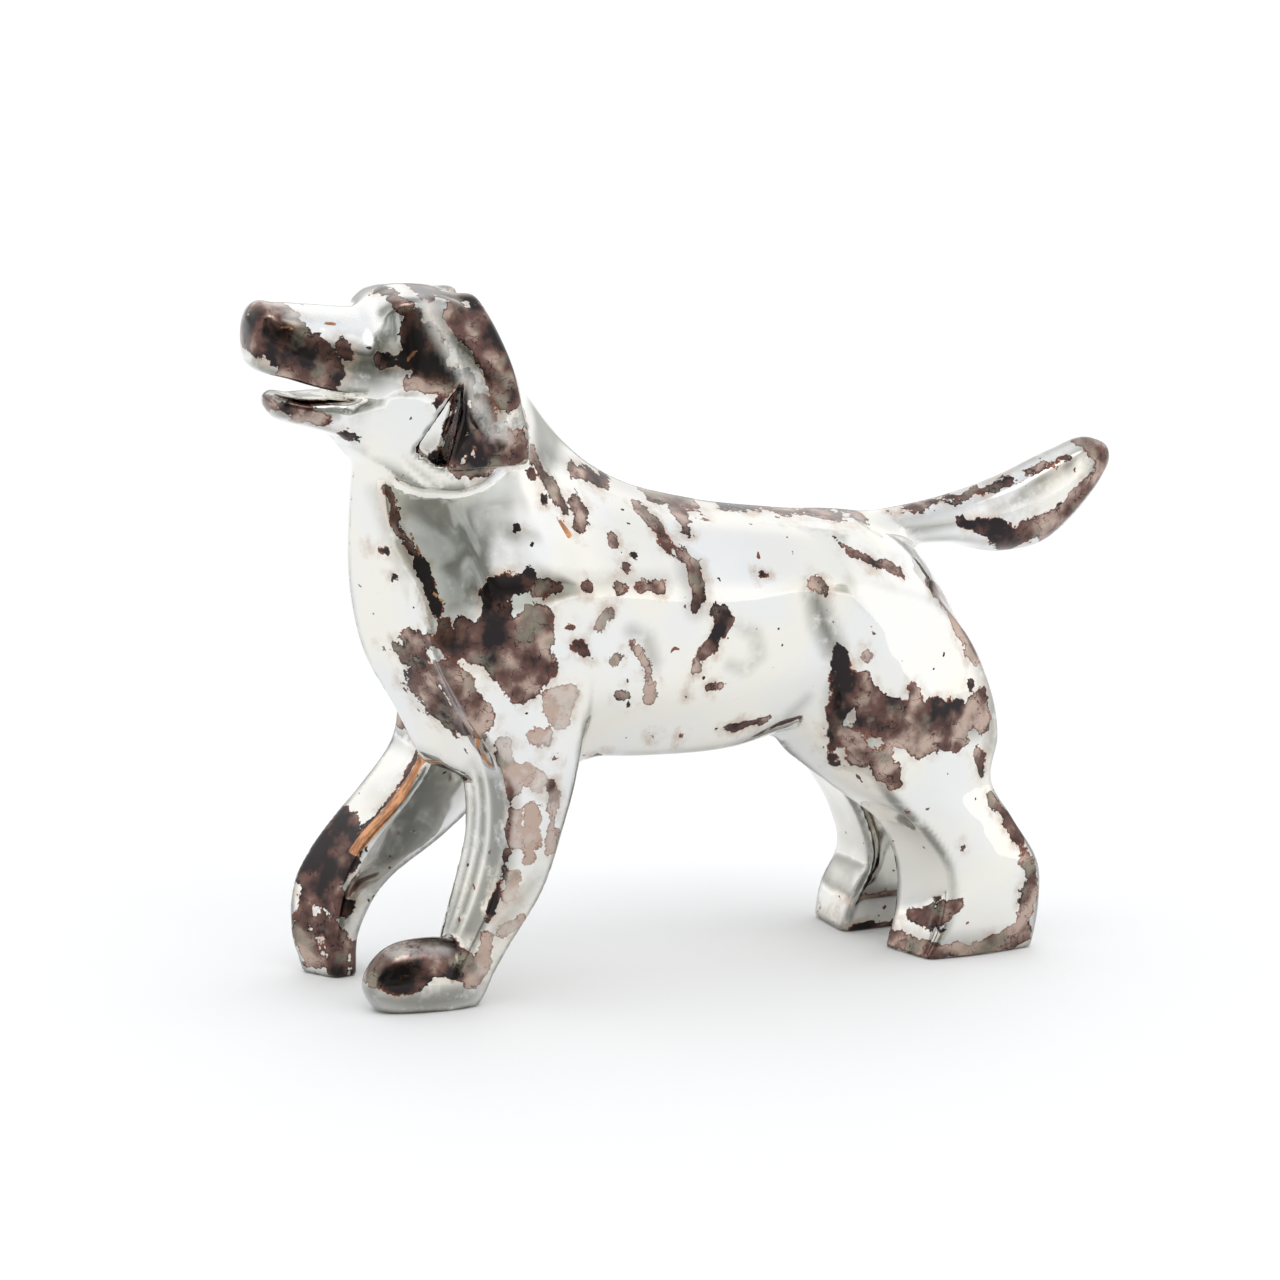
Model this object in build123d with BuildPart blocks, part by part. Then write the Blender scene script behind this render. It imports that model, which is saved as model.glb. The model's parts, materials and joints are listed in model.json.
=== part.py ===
from build123d import *
import os

# Walking dog figurine, 103 mm long: two hollow cast halves that meet on the centre plane, three dowels
# between them, and a cast tail with a round tenon.
# Frame: +Z up, the dog faces -Y, its left side is +X. Millimetres. The origin is on the standing surface.

# ---------------------------------------------------------------- driving dimensions
WALL = 2.2  # thickness of the cast wall round the hollow
TAIL_JOINT_Y = 27.0  # the halves end and the tail casting starts at this plane
TAIL_SEAT_Z = 45.3  # the rump is cut flat here, just under the tail
TAIL_SEAT_WIDTH = 12.0
TAIL_SEAT_HEIGHT = 6.0
TAIL_SEAT_LENGTH = 8.0
TENON_RADIUS = 1.4
TENON_LENGTH = 5.0
TENON_Z = 47.5
DOWEL_RADIUS = 1.0
DOWEL_REACH = 2.4  # length of a dowel in each half
FIT_GAP = 0.05  # clearance round a tenon or a dowel
DOWEL_PLACES = [(-42.0, 71.5), (-25.0, 31.0), (26.5, 36.0)]  # (y, z) of the solid parts of the joint face
FRAME_SHIFT_Y = -1.9  # moves the sections so that the origin is under the middle of the length

# ---------------------------------------------------------------- sections
# A section is (station, corner radius, outline). The corner radius softens the edges between the facets.
# A mirrored outline runs from the top of the centre line down one side to its bottom.

# Trunk, along Y, (x, z): back ridge, upper flank, widest line, lower flank, belly edge, keel.
TRUNK = [
    (-26, 1.5, [(0, 57), (6, 53.5), (10.5, 46), (10.5, 34), (6.5, 27.5), (0, 26)]),
    (-16, 1.5, [(0, 58), (7, 53), (12.4, 46.8), (12.2, 34), (7.5, 26.6), (0, 25)]),
    (-6, 1.5, [(0, 54.8), (7, 51.6), (12.4, 45.2), (12.2, 34), (8, 25.8), (0, 24.4)]),
    (4, 1.5, [(0, 52.2), (7, 50), (11.6, 44.3), (11.2, 34), (7.6, 25.8), (0, 24.4)]),
    (13, 1.5, [(0, 50.8), (7, 49), (11.6, 44.6), (11.0, 35), (7, 27.5), (0, 26)]),
    (22, 1.5, [(0, 49.6), (6.5, 47.6), (11, 43), (11, 35), (7, 28), (0, 26)]),
    (28, 1.5, [(0, 46.7), (5.5, 44.6), (9, 40), (9, 34), (6.5, 28), (0, 26)]),
    (33, 1.5, [(0, 39), (4, 37.5), (6, 35), (5.5, 31), (4, 28), (0, 27)]),
]
# Neck and chest, along Z, (x, y): throat, front edge, side, back edge, nape.
NECK = [
    (25, 1.2, [(0, -29.5), (4, -28), (6.5, -22), (6, -15), (0, -11)]),
    (31, 1.5, [(0, -32.4), (5.5, -30), (9.5, -23), (9, -14), (0, -9)]),
    (38, 1.5, [(0, -36.2), (7.5, -32.5), (11.5, -25), (11.5, -14), (0, -7)]),
    (45, 1.5, [(0, -37.8), (7.8, -34), (11.2, -26), (11.8, -15.5), (0, -5)]),
    (52, 1.5, [(0, -37.9), (6, -35.8), (9, -28), (9.5, -17.5), (0, -6)]),
    (58, 1.2, [(0, -37.4), (4.8, -36), (7, -29), (7.5, -19.5), (0, -11.5)]),
    (65, 1.2, [(0, -36.5), (4.5, -35), (6.5, -29), (6.5, -21), (0, -17)]),
    (71, 1.2, [(0, -35), (4, -33.5), (6, -29), (5.5, -23), (0, -20.4)]),
]
# Head with the upper jaw, along Y, (x, z): crown, crown edge, cheek line, lower edge, underside.
HEAD = [
    (-49.4, 0.8, [(0, 76.0), (2.0, 75.2), (2.8, 72.8), (1.8, 70.8), (0, 70.4)]),
    (-47.0, 0.9, [(0, 77.1), (3.0, 76.2), (4.0, 72.6), (3.2, 69.6), (0, 69.2)]),
    (-42.0, 0.9, [(0, 76.7), (3.4, 75.4), (5.0, 71), (4.6, 68.0), (0, 67.6)]),
    (-37.5, 0.9, [(0, 76.2), (4.0, 75.0), (6.2, 69), (5.6, 63.4), (0, 62.0)]),
    (-34.5, 1.0, [(0, 77.9), (5.2, 76.9), (7.2, 69), (6.8, 60), (0, 58.4)]),
    (-30.5, 1.0, [(0, 78.3), (5.6, 77.3), (8.2, 69), (8.0, 57.2), (0, 56.4)]),
    (-25.6, 1.0, [(0, 76.8), (5.4, 75.8), (8.4, 69), (8.1, 57.4), (0, 57)]),
    (-21.8, 1.0, [(0, 73.2), (4.4, 71.6), (7.0, 67), (7.2, 60), (0, 59.5)]),
]
# Lower jaw, along Y, (x, z).
JAW = [
    (-47.3, 0.4, [(0, 67.2), (1.6, 67.0), (2.1, 66.3), (1.5, 65.5), (0, 65.3)]),
    (-45.5, 0.6, [(0, 67.3), (2.5, 67.2), (3.2, 66.0), (2.3, 64.4), (0, 64.0)]),
    (-41.0, 0.7, [(0, 67.0), (3.6, 66.8), (4.5, 65.2), (3.4, 63), (0, 62.3)]),
    (-35.0, 0.8, [(0, 66.6), (4.4, 66.2), (5.6, 63.6), (4.8, 61), (0, 60)]),
]
# Tail, along Y, (x, z).
TAIL = [
    (18.0, 0.7, [(0, 49.6), (2.0, 48.6), (2.7, 47.4), (1.8, 45.8), (0, 45.2)]),
    (TAIL_JOINT_Y, 0.7, [(0, 49.7), (1.9, 48.9), (2.5, 47.6), (1.8, 46.2), (0, 45.5)]),
    (33.0, 0.7, [(0, 50.7), (1.8, 49.8), (2.5, 48.2), (1.7, 46.2), (0, 45.4)]),
    (40.0, 0.6, [(0, 52.6), (1.7, 51.4), (2.5, 48.8), (1.5, 45.4), (0, 44.1)]),
    (46.5, 0.6, [(0, 55.0), (1.6, 53.8), (2.3, 50.6), (1.4, 46.8), (0, 45.3)]),
    (51.0, 0.5, [(0, 56.1), (1.3, 55.2), (1.8, 53), (1.1, 50.4), (0, 49.4)]),
    (53.4, 0.4, [(0, 55.3), (0.8, 54.9), (1.1, 54), (0.8, 53.1), (0, 52.7)]),
]
# Front left leg and shoulder, along Z, (x, y): front edge, side, back edge, inner back, inner front.
FRONT_LEFT = [
    (54, 1.2, [(5.0, -31), (8.0, -25), (7.0, -19), (3, -19), (3, -29)]),
    (46, 1.5, [(8.8, -32.6), (12.4, -26), (11.6, -17), (3, -18), (3, -30)]),
    (40, 1.5, [(10.8, -32.2), (13.2, -25), (12.7, -16.2), (3, -17), (3, -31)]),
    (33, 1.5, [(11.9, -28.8), (13.3, -23), (12.4, -15.2), (3, -16), (3, -29.6)]),
    (26, 1.2, [(12.2, -24.8), (12.7, -20), (11.5, -15.6), (4, -16.5), (3.6, -27.0)]),
    (19, 1.0, [(11.9, -24.2), (12.0, -20.5), (10.8, -17.2), (5, -18), (4, -26.6)]),
    (12, 1.0, [(11.5, -26), (11.4, -22.5), (10.4, -19.6), (5, -20.6), (4, -28.2)]),
    (6, 1.0, [(11.2, -29), (11.2, -26), (10.4, -23.6), (5, -24.5), (4.4, -30)]),
    (0, 1.0, [(10.8, -32), (10.8, -30), (10.2, -27.6), (5.4, -28.5), (4.8, -32)]),
]
FRONT_LEFT_PAW = [
    (0, 1.2, [(9.4, -38.2), (11.2, -33.5), (10.4, -27.4), (5.4, -27.4), (4.6, -33.5), (6.2, -38.2)]),
    (3, 1.2, [(9.8, -39.6), (11.9, -34), (10.8, -25.9), (5.2, -25.9), (4.0, -34), (5.6, -39.6)]),
    (6, 1.2, [(9.2, -38.2), (10.9, -33.5), (10.0, -27.6), (6, -27.6), (4.9, -33.5), (6.0, -38.2)]),
    (8.2, 0.6, [(8.4, -36.2), (9.2, -33), (8.8, -29.4), (7, -29.4), (6.4, -33), (6.8, -36.2)]),
]
# Front right leg: it reaches forward to the knee, then hangs upright to its sole.
FRONT_RIGHT = [
    (54, 1.2, [(-3, -29), (-5.0, -31), (-8.0, -25), (-7.0, -19), (-3, -19)]),
    (46, 1.5, [(-3, -30), (-8.8, -32.6), (-12.4, -26), (-11.6, -17), (-3, -18)]),
    (38, 1.5, [(-3, -30), (-11.0, -31), (-13.2, -23), (-12.4, -14.5), (-3, -15)]),
    (30, 1.2, [(-3.4, -28.6), (-12.2, -28.6), (-13.4, -22), (-12.4, -14.4), (-3.6, -14.5)]),
    (25, 1.2, [(-4.2, -27.4), (-12.6, -29.4), (-13.6, -24), (-12.6, -16), (-4.4, -16)]),
    (20, 1.2, [(-4.6, -30.6), (-12.8, -33.2), (-13.8, -28.6), (-12.8, -20.6), (-5, -20)]),
    (15.5, 1.2, [(-4.8, -35.0), (-12.4, -37.6), (-13.6, -33.4), (-12.8, -26.2), (-5.2, -25.2)]),
    (11, 1.2, [(-4.8, -37.4), (-11.6, -40.9), (-13.2, -37.2), (-12.6, -32.0), (-5.4, -31.6)]),
    (6, 1.2, [(-5.2, -38.2), (-10.8, -42.0), (-12.8, -39), (-12.2, -35.0), (-5.8, -34.8)]),
    (0, 1.2, [(-6.0, -38.2), (-10.0, -40.6), (-12.0, -38.4), (-11.4, -35.4), (-6.4, -35.4)]),
]
# Hind legs and haunches, along Z, (x, y): front edge, side, back edge, inner back, inner front.
HIND_LEFT = [
    (49, 1.2, [(5.5, 13), (7.8, 17), (5.0, 21), (1.5, 21), (1.5, 12)]),
    (44, 1.5, [(9.4, 11), (12.0, 16), (8.2, 24.8), (1.5, 25), (1.5, 10)]),
    (38, 1.5, [(12.0, 13.4), (13.2, 20), (9.2, 31), (1.5, 31.5), (1.5, 10)]),
    (31, 1.5, [(12.9, 16.0), (13.8, 24), (9.8, 34.6), (1.8, 34.8), (2.5, 9.5)]),
    (25, 1.2, [(12.9, 18.2), (13.7, 26), (10.0, 35.8), (2.6, 35.8), (3.5, 10.5)]),
    (19.5, 1.2, [(12.8, 21.0), (13.3, 27.6), (10.2, 35.0), (3.4, 35.2), (4, 17.0)]),
    (15, 1.2, [(12.5, 25.4), (12.9, 31), (10.6, 37.6), (4, 37.6), (4, 22.8)]),
    (10, 1.2, [(12.3, 28.6), (12.8, 34), (11.2, 40.4), (4.4, 40.4), (4.2, 25.0)]),
    (5, 1.2, [(12.4, 28.4), (12.9, 33), (11.5, 40.5), (4.4, 40.4), (4.2, 25.2)]),
    (0, 1.2, [(12.0, 25.6), (12.4, 32), (11.1, 39.6), (5, 39.4), (4.6, 23.4)]),
]
HIND_RIGHT = [
    (49, 1.2, [(-5.5, 13), (-7.8, 17), (-5.0, 21), (-1.5, 21), (-1.5, 12)]),
    (44, 1.5, [(-9.4, 11), (-12.0, 16), (-8.2, 24.8), (-1.5, 25), (-1.5, 10)]),
    (38, 1.5, [(-12.0, 13.0), (-13.2, 20.5), (-9.2, 31.0), (-1.5, 31.5), (-1.5, 10.5)]),
    (31, 1.5, [(-12.6, 15.4), (-13.6, 24), (-9.6, 34), (-1.6, 34), (-1.8, 11)]),
    (25, 1.2, [(-12.4, 17.6), (-13.0, 25.6), (-9.4, 34.8), (-1.8, 34.8), (-1.8, 14)]),
    (19.5, 1.2, [(-11.8, 20.2), (-12.2, 27.6), (-9.0, 34.4), (-1.8, 34.4), (-1.8, 19.8)]),
    (13, 1.2, [(-11.2, 23.8), (-11.6, 30), (-9.2, 36.6), (-2.2, 36.6), (-1.8, 24.0)]),
    (8.5, 1.2, [(-11.0, 24.8), (-11.4, 30.4), (-9.4, 37.2), (-2.6, 37.0), (-1.8, 25.0)]),
    (4, 1.2, [(-11.2, 22.8), (-11.6, 29.6), (-9.6, 36.8), (-2.6, 36.6), (-1.8, 23.0)]),
    (0, 1.2, [(-10.4, 21.6), (-10.8, 29), (-9.2, 35.4), (-3.2, 35.2), (-2.6, 21.8)]),
]
# Ear flap, along X, (y, z): a pendant flap whose top runs into the skull.
EAR_ROOT = [(-28.6, 75.4), (-23.6, 75.0), (-21.2, 69), (-19.8, 61.2), (-25, 59.4), (-30.8, 60.0), (-28.8, 67)]
EAR_SIDE = [(-27.6, 72.4), (-23.8, 72.2), (-21.5, 68), (-20.1, 61.2), (-25, 59.6), (-30.6, 60.2), (-28.2, 66)]
EAR_FACE = [(-26.6, 68), (-23.9, 68), (-22.4, 66), (-21.2, 62.4), (-25, 61.0), (-29.2, 61.4), (-27.4, 65)]
EAR = [
    (4.5, 0.6, EAR_ROOT),
    (8.6, 0.6, EAR_SIDE),
    (10.6, 0.5, EAR_FACE),
]
# Stations of the trunk and of the neck that the hollow runs between.
HOLLOW_TRUNK = (-16, 22)
HOLLOW_NECK = (38, 65)
# Stations of the tail that belong to the halves, and to the tail casting.
TAIL_ROOT = (18, TAIL_JOINT_Y)
TAIL_BLADE = (TAIL_JOINT_Y, 54)


def across_y(y):
    """A section plane at a station along the body, with X across and Z up."""
    return Plane(origin=(0, y + FRAME_SHIFT_Y, 0), x_dir=(1, 0, 0), z_dir=(0, -1, 0))


def across_z(z):
    """A section plane at a height, with X and Y in it."""
    return Plane(origin=(0, FRAME_SHIFT_Y, z), x_dir=(1, 0, 0), z_dir=(0, 0, 1))


def across_x(x):
    """A section plane at a distance from the centre plane, with Y across and Z up."""
    return Plane(origin=(x, FRAME_SHIFT_Y, 0), x_dir=(0, 1, 0), z_dir=(1, 0, 0))


def both_sides(outline):
    """The closed outline of a section that is the same on both sides of the centre plane."""
    return outline + [(-across, up) for across, up in reversed(outline[1:-1])]


def one_side(outline):
    """The outline of a section that is listed all the way round."""
    return outline


def skin(sections, plane_at, outline_of, mode=Mode.ADD, inset=0.0, straight=False):
    """Loft through a list of sections, in the part that is being built. Straight spans stay flat facets."""
    faces = []
    for station, corner_radius, outline in sections:
        with BuildSketch(plane_at(station)) as section:
            with BuildLine():
                Polyline(*outline_of(outline), close=True)
            make_face()
            if inset:
                offset(amount=-inset, kind=Kind.INTERSECTION, mode=Mode.REPLACE)
            fillet(section.vertices(), corner_radius)
        faces.append(section.sketch)
    loft(faces, mode=mode, ruled=straight)


def between(sections, limits):
    """The sections whose stations lie within the limits."""
    first, last = limits
    return [section for section in sections if first <= section[0] <= last]


def casting(leg_stacks, side, keep):
    """One cast half: its side of the body, its legs and ear, less the hollow and the holes for the dowels."""
    with BuildPart() as half:
        skin(TRUNK, across_y, both_sides)
        skin(NECK, across_z, both_sides)
        skin(HEAD, across_y, both_sides)
        skin(JAW, across_y, both_sides)
        skin(between(TAIL, TAIL_ROOT), across_y, both_sides)
        split(bisect_by=Plane.YZ, keep=keep)
        for stack in leg_stacks:
            skin(stack, across_z, one_side, straight=True)
        skin([(side * x, radius, outline) for x, radius, outline in EAR], across_x, one_side)
        skin(between(TRUNK, HOLLOW_TRUNK), across_y, both_sides, Mode.SUBTRACT, WALL)
        skin(between(NECK, HOLLOW_NECK), across_z, both_sides, Mode.SUBTRACT, WALL)
        with BuildSketch(across_x(0)):
            with Locations(*DOWEL_PLACES):
                Circle(DOWEL_RADIUS + FIT_GAP)
        extrude(amount=DOWEL_REACH + FIT_GAP, both=True, mode=Mode.SUBTRACT)
        with BuildSketch(across_y(TAIL_JOINT_Y)):
            with Locations((0, TENON_Z)):
                Circle(TENON_RADIUS + FIT_GAP)
        extrude(amount=TENON_LENGTH + FIT_GAP, mode=Mode.SUBTRACT)
        with BuildSketch(across_y(TAIL_JOINT_Y)):
            with Locations((0, TAIL_SEAT_Z)):
                Rectangle(TAIL_SEAT_WIDTH, TAIL_SEAT_HEIGHT, align=(Align.CENTER, Align.MIN))
        extrude(amount=-TAIL_SEAT_LENGTH, mode=Mode.SUBTRACT)
    return half


os.makedirs("parts", exist_ok=True)

# ---------------------------------------------------------------- left half, with its ear and two legs
left_half = casting([FRONT_LEFT, FRONT_LEFT_PAW, HIND_LEFT], 1, Keep.TOP)
left_half.part.label = "left_half_casting"
export_step(left_half.part, "parts/left_half_casting.step")

# ---------------------------------------------------------------- right half, with its ear and two legs
right_half = casting([FRONT_RIGHT, HIND_RIGHT], -1, Keep.BOTTOM)
right_half.part.label = "right_half_casting"
export_step(right_half.part, "parts/right_half_casting.step")

# ---------------------------------------------------------------- dowels that line the two halves up
with BuildPart() as dowels:
    with BuildSketch(across_x(0)):
        with Locations(*DOWEL_PLACES):
            Circle(DOWEL_RADIUS)
    extrude(amount=DOWEL_REACH, both=True)
dowels.part.label = "locating_dowels"
export_step(dowels.part, "parts/locating_dowels.step")

# ---------------------------------------------------------------- tail, with its tenon
with BuildPart() as tail:
    skin(between(TAIL, TAIL_BLADE), across_y, both_sides)
    with BuildSketch(across_y(TAIL_JOINT_Y)):
        with Locations((0, TENON_Z)):
            Circle(TENON_RADIUS)
    extrude(amount=TENON_LENGTH)
tail.part.label = "tail_casting"
export_step(tail.part, "parts/tail_casting.step")
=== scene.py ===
"""Walking dog figurine: a mirror-silver casting with brown tarnish under clear lacquer, on a white table.

Frame: metres, +Z up, the dog faces -Y and its left side is +X. The sculpting below is in millimetres, and is
scaled to metres when the meshes are made. The trunk, the neck and the legs have the castings' sections; the
head, the ears and the tail have finer ones.
"""

import json
import math

import bmesh
import bpy
import numpy as np
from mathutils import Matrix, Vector

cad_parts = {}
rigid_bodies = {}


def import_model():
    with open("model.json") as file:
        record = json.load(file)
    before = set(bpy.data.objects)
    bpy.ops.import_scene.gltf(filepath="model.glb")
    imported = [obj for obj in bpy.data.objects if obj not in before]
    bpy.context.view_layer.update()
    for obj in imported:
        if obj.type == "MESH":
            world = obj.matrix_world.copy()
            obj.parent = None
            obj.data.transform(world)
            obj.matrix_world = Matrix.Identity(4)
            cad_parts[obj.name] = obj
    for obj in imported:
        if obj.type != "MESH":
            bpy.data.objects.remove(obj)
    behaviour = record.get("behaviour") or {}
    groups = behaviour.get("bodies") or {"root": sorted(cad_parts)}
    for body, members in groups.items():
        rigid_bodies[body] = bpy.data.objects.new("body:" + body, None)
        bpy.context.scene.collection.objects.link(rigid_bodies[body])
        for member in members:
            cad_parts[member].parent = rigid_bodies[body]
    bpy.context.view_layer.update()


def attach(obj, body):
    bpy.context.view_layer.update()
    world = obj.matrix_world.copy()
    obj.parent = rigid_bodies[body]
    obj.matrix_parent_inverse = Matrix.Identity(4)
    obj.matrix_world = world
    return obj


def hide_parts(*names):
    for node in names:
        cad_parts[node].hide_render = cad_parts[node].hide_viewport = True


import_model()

# ---- driving values
MM = 0.001
X, Y, Z = 0, 1, 2
SHIFT_Y = -1.9  # from the sections' own Y to the frame's
GRID_LOW, GRID_HIGH = (-16, -52, -2), (16, 56, 82)  # corners of the sampling grid
GRID_STEP = 0.5  # its spacing
COARSE_FACTOR = 4  # fine steps in a step of the coarse grid, which finds where the skin is
NEAR_SKIN = 1.6  # coarse steps from the skin within which the fine grid is sampled
JOINT_FACE_DEPTH = 0.08  # a face whose middle lies deeper than this under the skin is a joint face
RIDGE_RADIUS = 0.9  # how round the ridges on the centre plane are
LEG_FILLET = 1.4  # between a leg and the body
FLOOR_EDGE = 0.15  # how round the soles' edges are
TAIL_JOINT_Y = 27.0  # the halves end and the tail casting starts at this plane
TAIL_SEAT_Z = 45.3  # and from here the cut slopes down and back, under the tail
CUT_WIDTH = 20.0  # the cuts reach past the figurine on every side
CUT_END_Y = 60.0
CUT_LOW_Z, CUT_SLOPE_Z, CUT_TOP_Z = -5.0, 21.6, 90.0  # bottom, lower end of the slope, top

# ---- sections
# A section is its station and then the corners of its outline. The outlines from the trunk to the tail start
# and end on the centre line, and are mirrored. Trunk, along Y, (x, z):
TRUNK = [
    (-26, (0, 57), (6, 53.5), (10.5, 46), (10.5, 34), (6.5, 27.5), (0, 26)),
    (-16, (0, 58), (7, 53), (12.4, 46.8), (12.2, 34), (7.5, 26.6), (0, 25)),
    (-6, (0, 54.8), (7, 51.6), (12.4, 45.2), (12.2, 34), (8, 25.8), (0, 24.4)),
    (4, (0, 52.2), (7, 50), (11.6, 44.3), (11.2, 34), (7.6, 25.8), (0, 24.4)),
    (13, (0, 50.8), (7, 49), (11.6, 44.6), (11, 35), (7, 27.5), (0, 26)),
    (22, (0, 49.6), (6.5, 47.6), (11, 43), (11, 35), (7, 28), (0, 26)),
    (28, (0, 46.7), (5.5, 44.6), (9, 40), (9, 34), (6.5, 28), (0, 26)),
    (33, (0, 39), (4, 37.5), (6, 35), (5.5, 31), (4, 28), (0, 27)),
]
# Neck and chest, along Z, (x, y):
NECK = [
    (25, (0, -29.5), (4, -28), (6.5, -22), (6, -15), (0, -11)),
    (31, (0, -32.4), (5.5, -30), (9.5, -23), (9, -14), (0, -9)),
    (38, (0, -36.2), (7.5, -32.5), (11.5, -25), (11.5, -14), (0, -7)),
    (45, (0, -37.8), (7.8, -34), (11.2, -26), (11.8, -15.5), (0, -5)),
    (52, (0, -37.9), (6, -35.8), (9, -28), (9.5, -17.5), (0, -6)),
    (58, (0, -37.4), (4.8, -36), (7, -29), (7.5, -19.5), (0, -11.5)),
    (65, (0, -36.5), (4.5, -35), (6.5, -29), (6.5, -21), (0, -17)),
    (71, (0, -35), (4, -33.5), (6, -29), (5.5, -23), (0, -20.4)),
]
# Head and tail, along Y, (x, z):
MUZZLE = [
    (-49.4, (0, 75.9), (1.4, 75.4), (2.1, 72.9), (1.4, 71), (0, 70.8)),
    (-48.4, (0, 77.1), (2.2, 76.4), (3, 72.8), (2.4, 70.2), (0, 70)),
    (-46, (0, 77.1), (2.7, 76.4), (4.2, 73), (3.9, 69.4), (0, 69.3)),
    (-42, (0, 76.7), (3, 75.9), (4.9, 72.4), (4.9, 68.1), (0, 68.2)),
    (-37.5, (0, 76.2), (3.2, 75.4), (5.8, 71.6), (6.1, 67.6), (0, 66.6)),
    (-32, (0, 76.2), (3.4, 75.4), (6.4, 71.6), (6.9, 67.6), (0, 66)),
]
SKULL = [
    (-36.4, (0, 76.6), (4.2, 76), (5.6, 70), (5.2, 63.4), (0, 61.6)),
    (-34.2, (0, 78), (5.2, 77.3), (7.2, 69), (6.9, 60.4), (0, 58.6)),
    (-30.5, (0, 78.3), (5.6, 77.5), (8.2, 69), (8.2, 57.4), (0, 56.4)),
    (-25.6, (0, 76.8), (5.4, 75.8), (8.2, 69), (8.2, 57.4), (0, 57)),
    (-21.8, (0, 73.2), (4.4, 71.6), (6.8, 67), (7.2, 60), (0, 59.5)),
]
CHEEK = [
    (-40, (0, 67), (4.4, 66.6), (5, 64.6), (3.8, 62.8), (0, 62.2)),
    (-37.5, (0, 68), (5.8, 67.4), (6.2, 64), (4.6, 60.6), (0, 59.4)),
    (-33.5, (0, 68), (7.2, 67.6), (7.8, 63), (7.2, 57.6), (0, 56.6)),
    (-28, (0, 68), (7.6, 67.6), (8.6, 63), (8.4, 57), (0, 56.2)),
]
JAW = [
    (-47.3, (0, 67.2), (1.4, 67), (1.9, 66.3), (1.3, 65.7), (0, 65.5)),
    (-46.3, (0, 67.4), (2.3, 67.3), (2.9, 66.3), (2, 65.1), (0, 64.7)),
    (-43.8, (0, 67), (3.1, 67), (3.9, 65.9), (2.8, 64.2), (0, 63.7)),
    (-40.5, (0, 66.8), (3.8, 66.9), (4.6, 65.3), (3.5, 63.1), (0, 62.6)),
    (-36, (0, 66.6), (4.4, 66.2), (5.6, 63.6), (4.8, 61), (0, 60)),
]
TAIL = [
    (17, (0, 49.4), (1.8, 48.6), (2.6, 47.4), (1.8, 45.8), (0, 45.2)),
    (27, (0, 49.9), (1.9, 49.1), (2.6, 47.7), (1.8, 46.1), (0, 45.4)),
    (33, (0, 50.8), (1.8, 49.9), (2.6, 48.2), (1.7, 46), (0, 45.3)),
    (40, (0, 52.7), (1.7, 51.5), (2.6, 48.8), (1.5, 45.2), (0, 43.9)),
    (46.5, (0, 55.2), (1.6, 54), (2.4, 50.6), (1.4, 46.6), (0, 45.2)),
    (51, (0, 56.4), (1.3, 55.6), (1.9, 53), (1.1, 50.2), (0, 49.2)),
    (53.6, (0, 55.6), (0.7, 55.2), (1, 54.2), (0.7, 53.3), (0, 52.9)),
]


def opposite(sections):
    """Sections on the other side of the centre plane."""
    return [(station, *[(-x, y) for x, y in outline]) for station, *outline in sections]


# Legs, along Z, (x, y), once round each leg:
FRONT_LEFT = [
    (54, (5, -31), (8, -25), (7, -19), (3, -19), (3, -29)),
    (46, (8.8, -32.6), (12.4, -26), (11.6, -17), (3, -18), (3, -30)),
    (40, (10.8, -32.2), (13.2, -25), (12.7, -16.2), (3, -17), (3, -31)),
    (33, (11.9, -28.8), (13.3, -23), (12.4, -15.2), (3, -16), (3, -29.6)),
    (26, (12.2, -24.8), (12.7, -20), (11.5, -15.6), (4, -16.5), (3.6, -27)),
    (19, (11.9, -24.2), (12, -20.5), (10.8, -17.2), (5, -18), (4, -26.6)),
    (12, (11.5, -26), (11.4, -22.5), (10.4, -19.6), (5, -20.6), (4, -28.2)),
    (6, (11.2, -29), (11.2, -26), (10.4, -23.6), (5, -24.5), (4.4, -30)),
    (-1, (10.8, -32), (10.8, -30), (10.2, -27.6), (5.4, -28.5), (4.8, -32)),
]
FRONT_LEFT_PAW = [
    (-1, (9.4, -38.2), (11.2, -33.5), (10.4, -27.4), (5.4, -27.4), (4.6, -33.5), (6.2, -38.2)),
    (3, (9.8, -39.6), (11.9, -34), (10.8, -25.9), (5.2, -25.9), (4, -34), (5.6, -39.6)),
    (6, (9.2, -38.2), (10.9, -33.5), (10, -27.6), (6, -27.6), (4.9, -33.5), (6, -38.2)),
    (8.2, (8.4, -36.2), (9.2, -33), (8.8, -29.4), (7, -29.4), (6.4, -33), (6.8, -36.2)),
]
FRONT_RIGHT = [
    (54, (-3, -29), (-5, -31), (-8, -25), (-7, -19), (-3, -19)),
    (46, (-3, -30), (-8.8, -32.6), (-12.4, -26), (-11.6, -17), (-3, -18)),
    (38, (-3, -30), (-11, -31), (-13.2, -23), (-12.4, -14.5), (-3, -15)),
    (30, (-3.4, -28.6), (-12.2, -28.6), (-13.4, -22), (-12.4, -14.4), (-3.6, -14.5)),
    (25, (-4.2, -27.4), (-12.6, -29.4), (-13.6, -24), (-12.6, -16), (-4.4, -16)),
    (20, (-4.6, -30.6), (-12.8, -33.2), (-13.8, -28.6), (-12.8, -20.6), (-5, -20)),
    (15.5, (-4.8, -35), (-12.4, -37.6), (-13.6, -33.4), (-12.8, -26.2), (-5.2, -25.2)),
    (11, (-4.8, -37.4), (-11.6, -40.9), (-13.2, -37.2), (-12.6, -32), (-5.4, -31.6)),
    (6, (-5.2, -38.2), (-10.8, -42), (-12.8, -39), (-12.2, -35), (-5.8, -34.8)),
    (-1, (-6, -38.2), (-10, -40.6), (-12, -38.4), (-11.4, -35.4), (-6.4, -35.4)),
]
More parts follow.
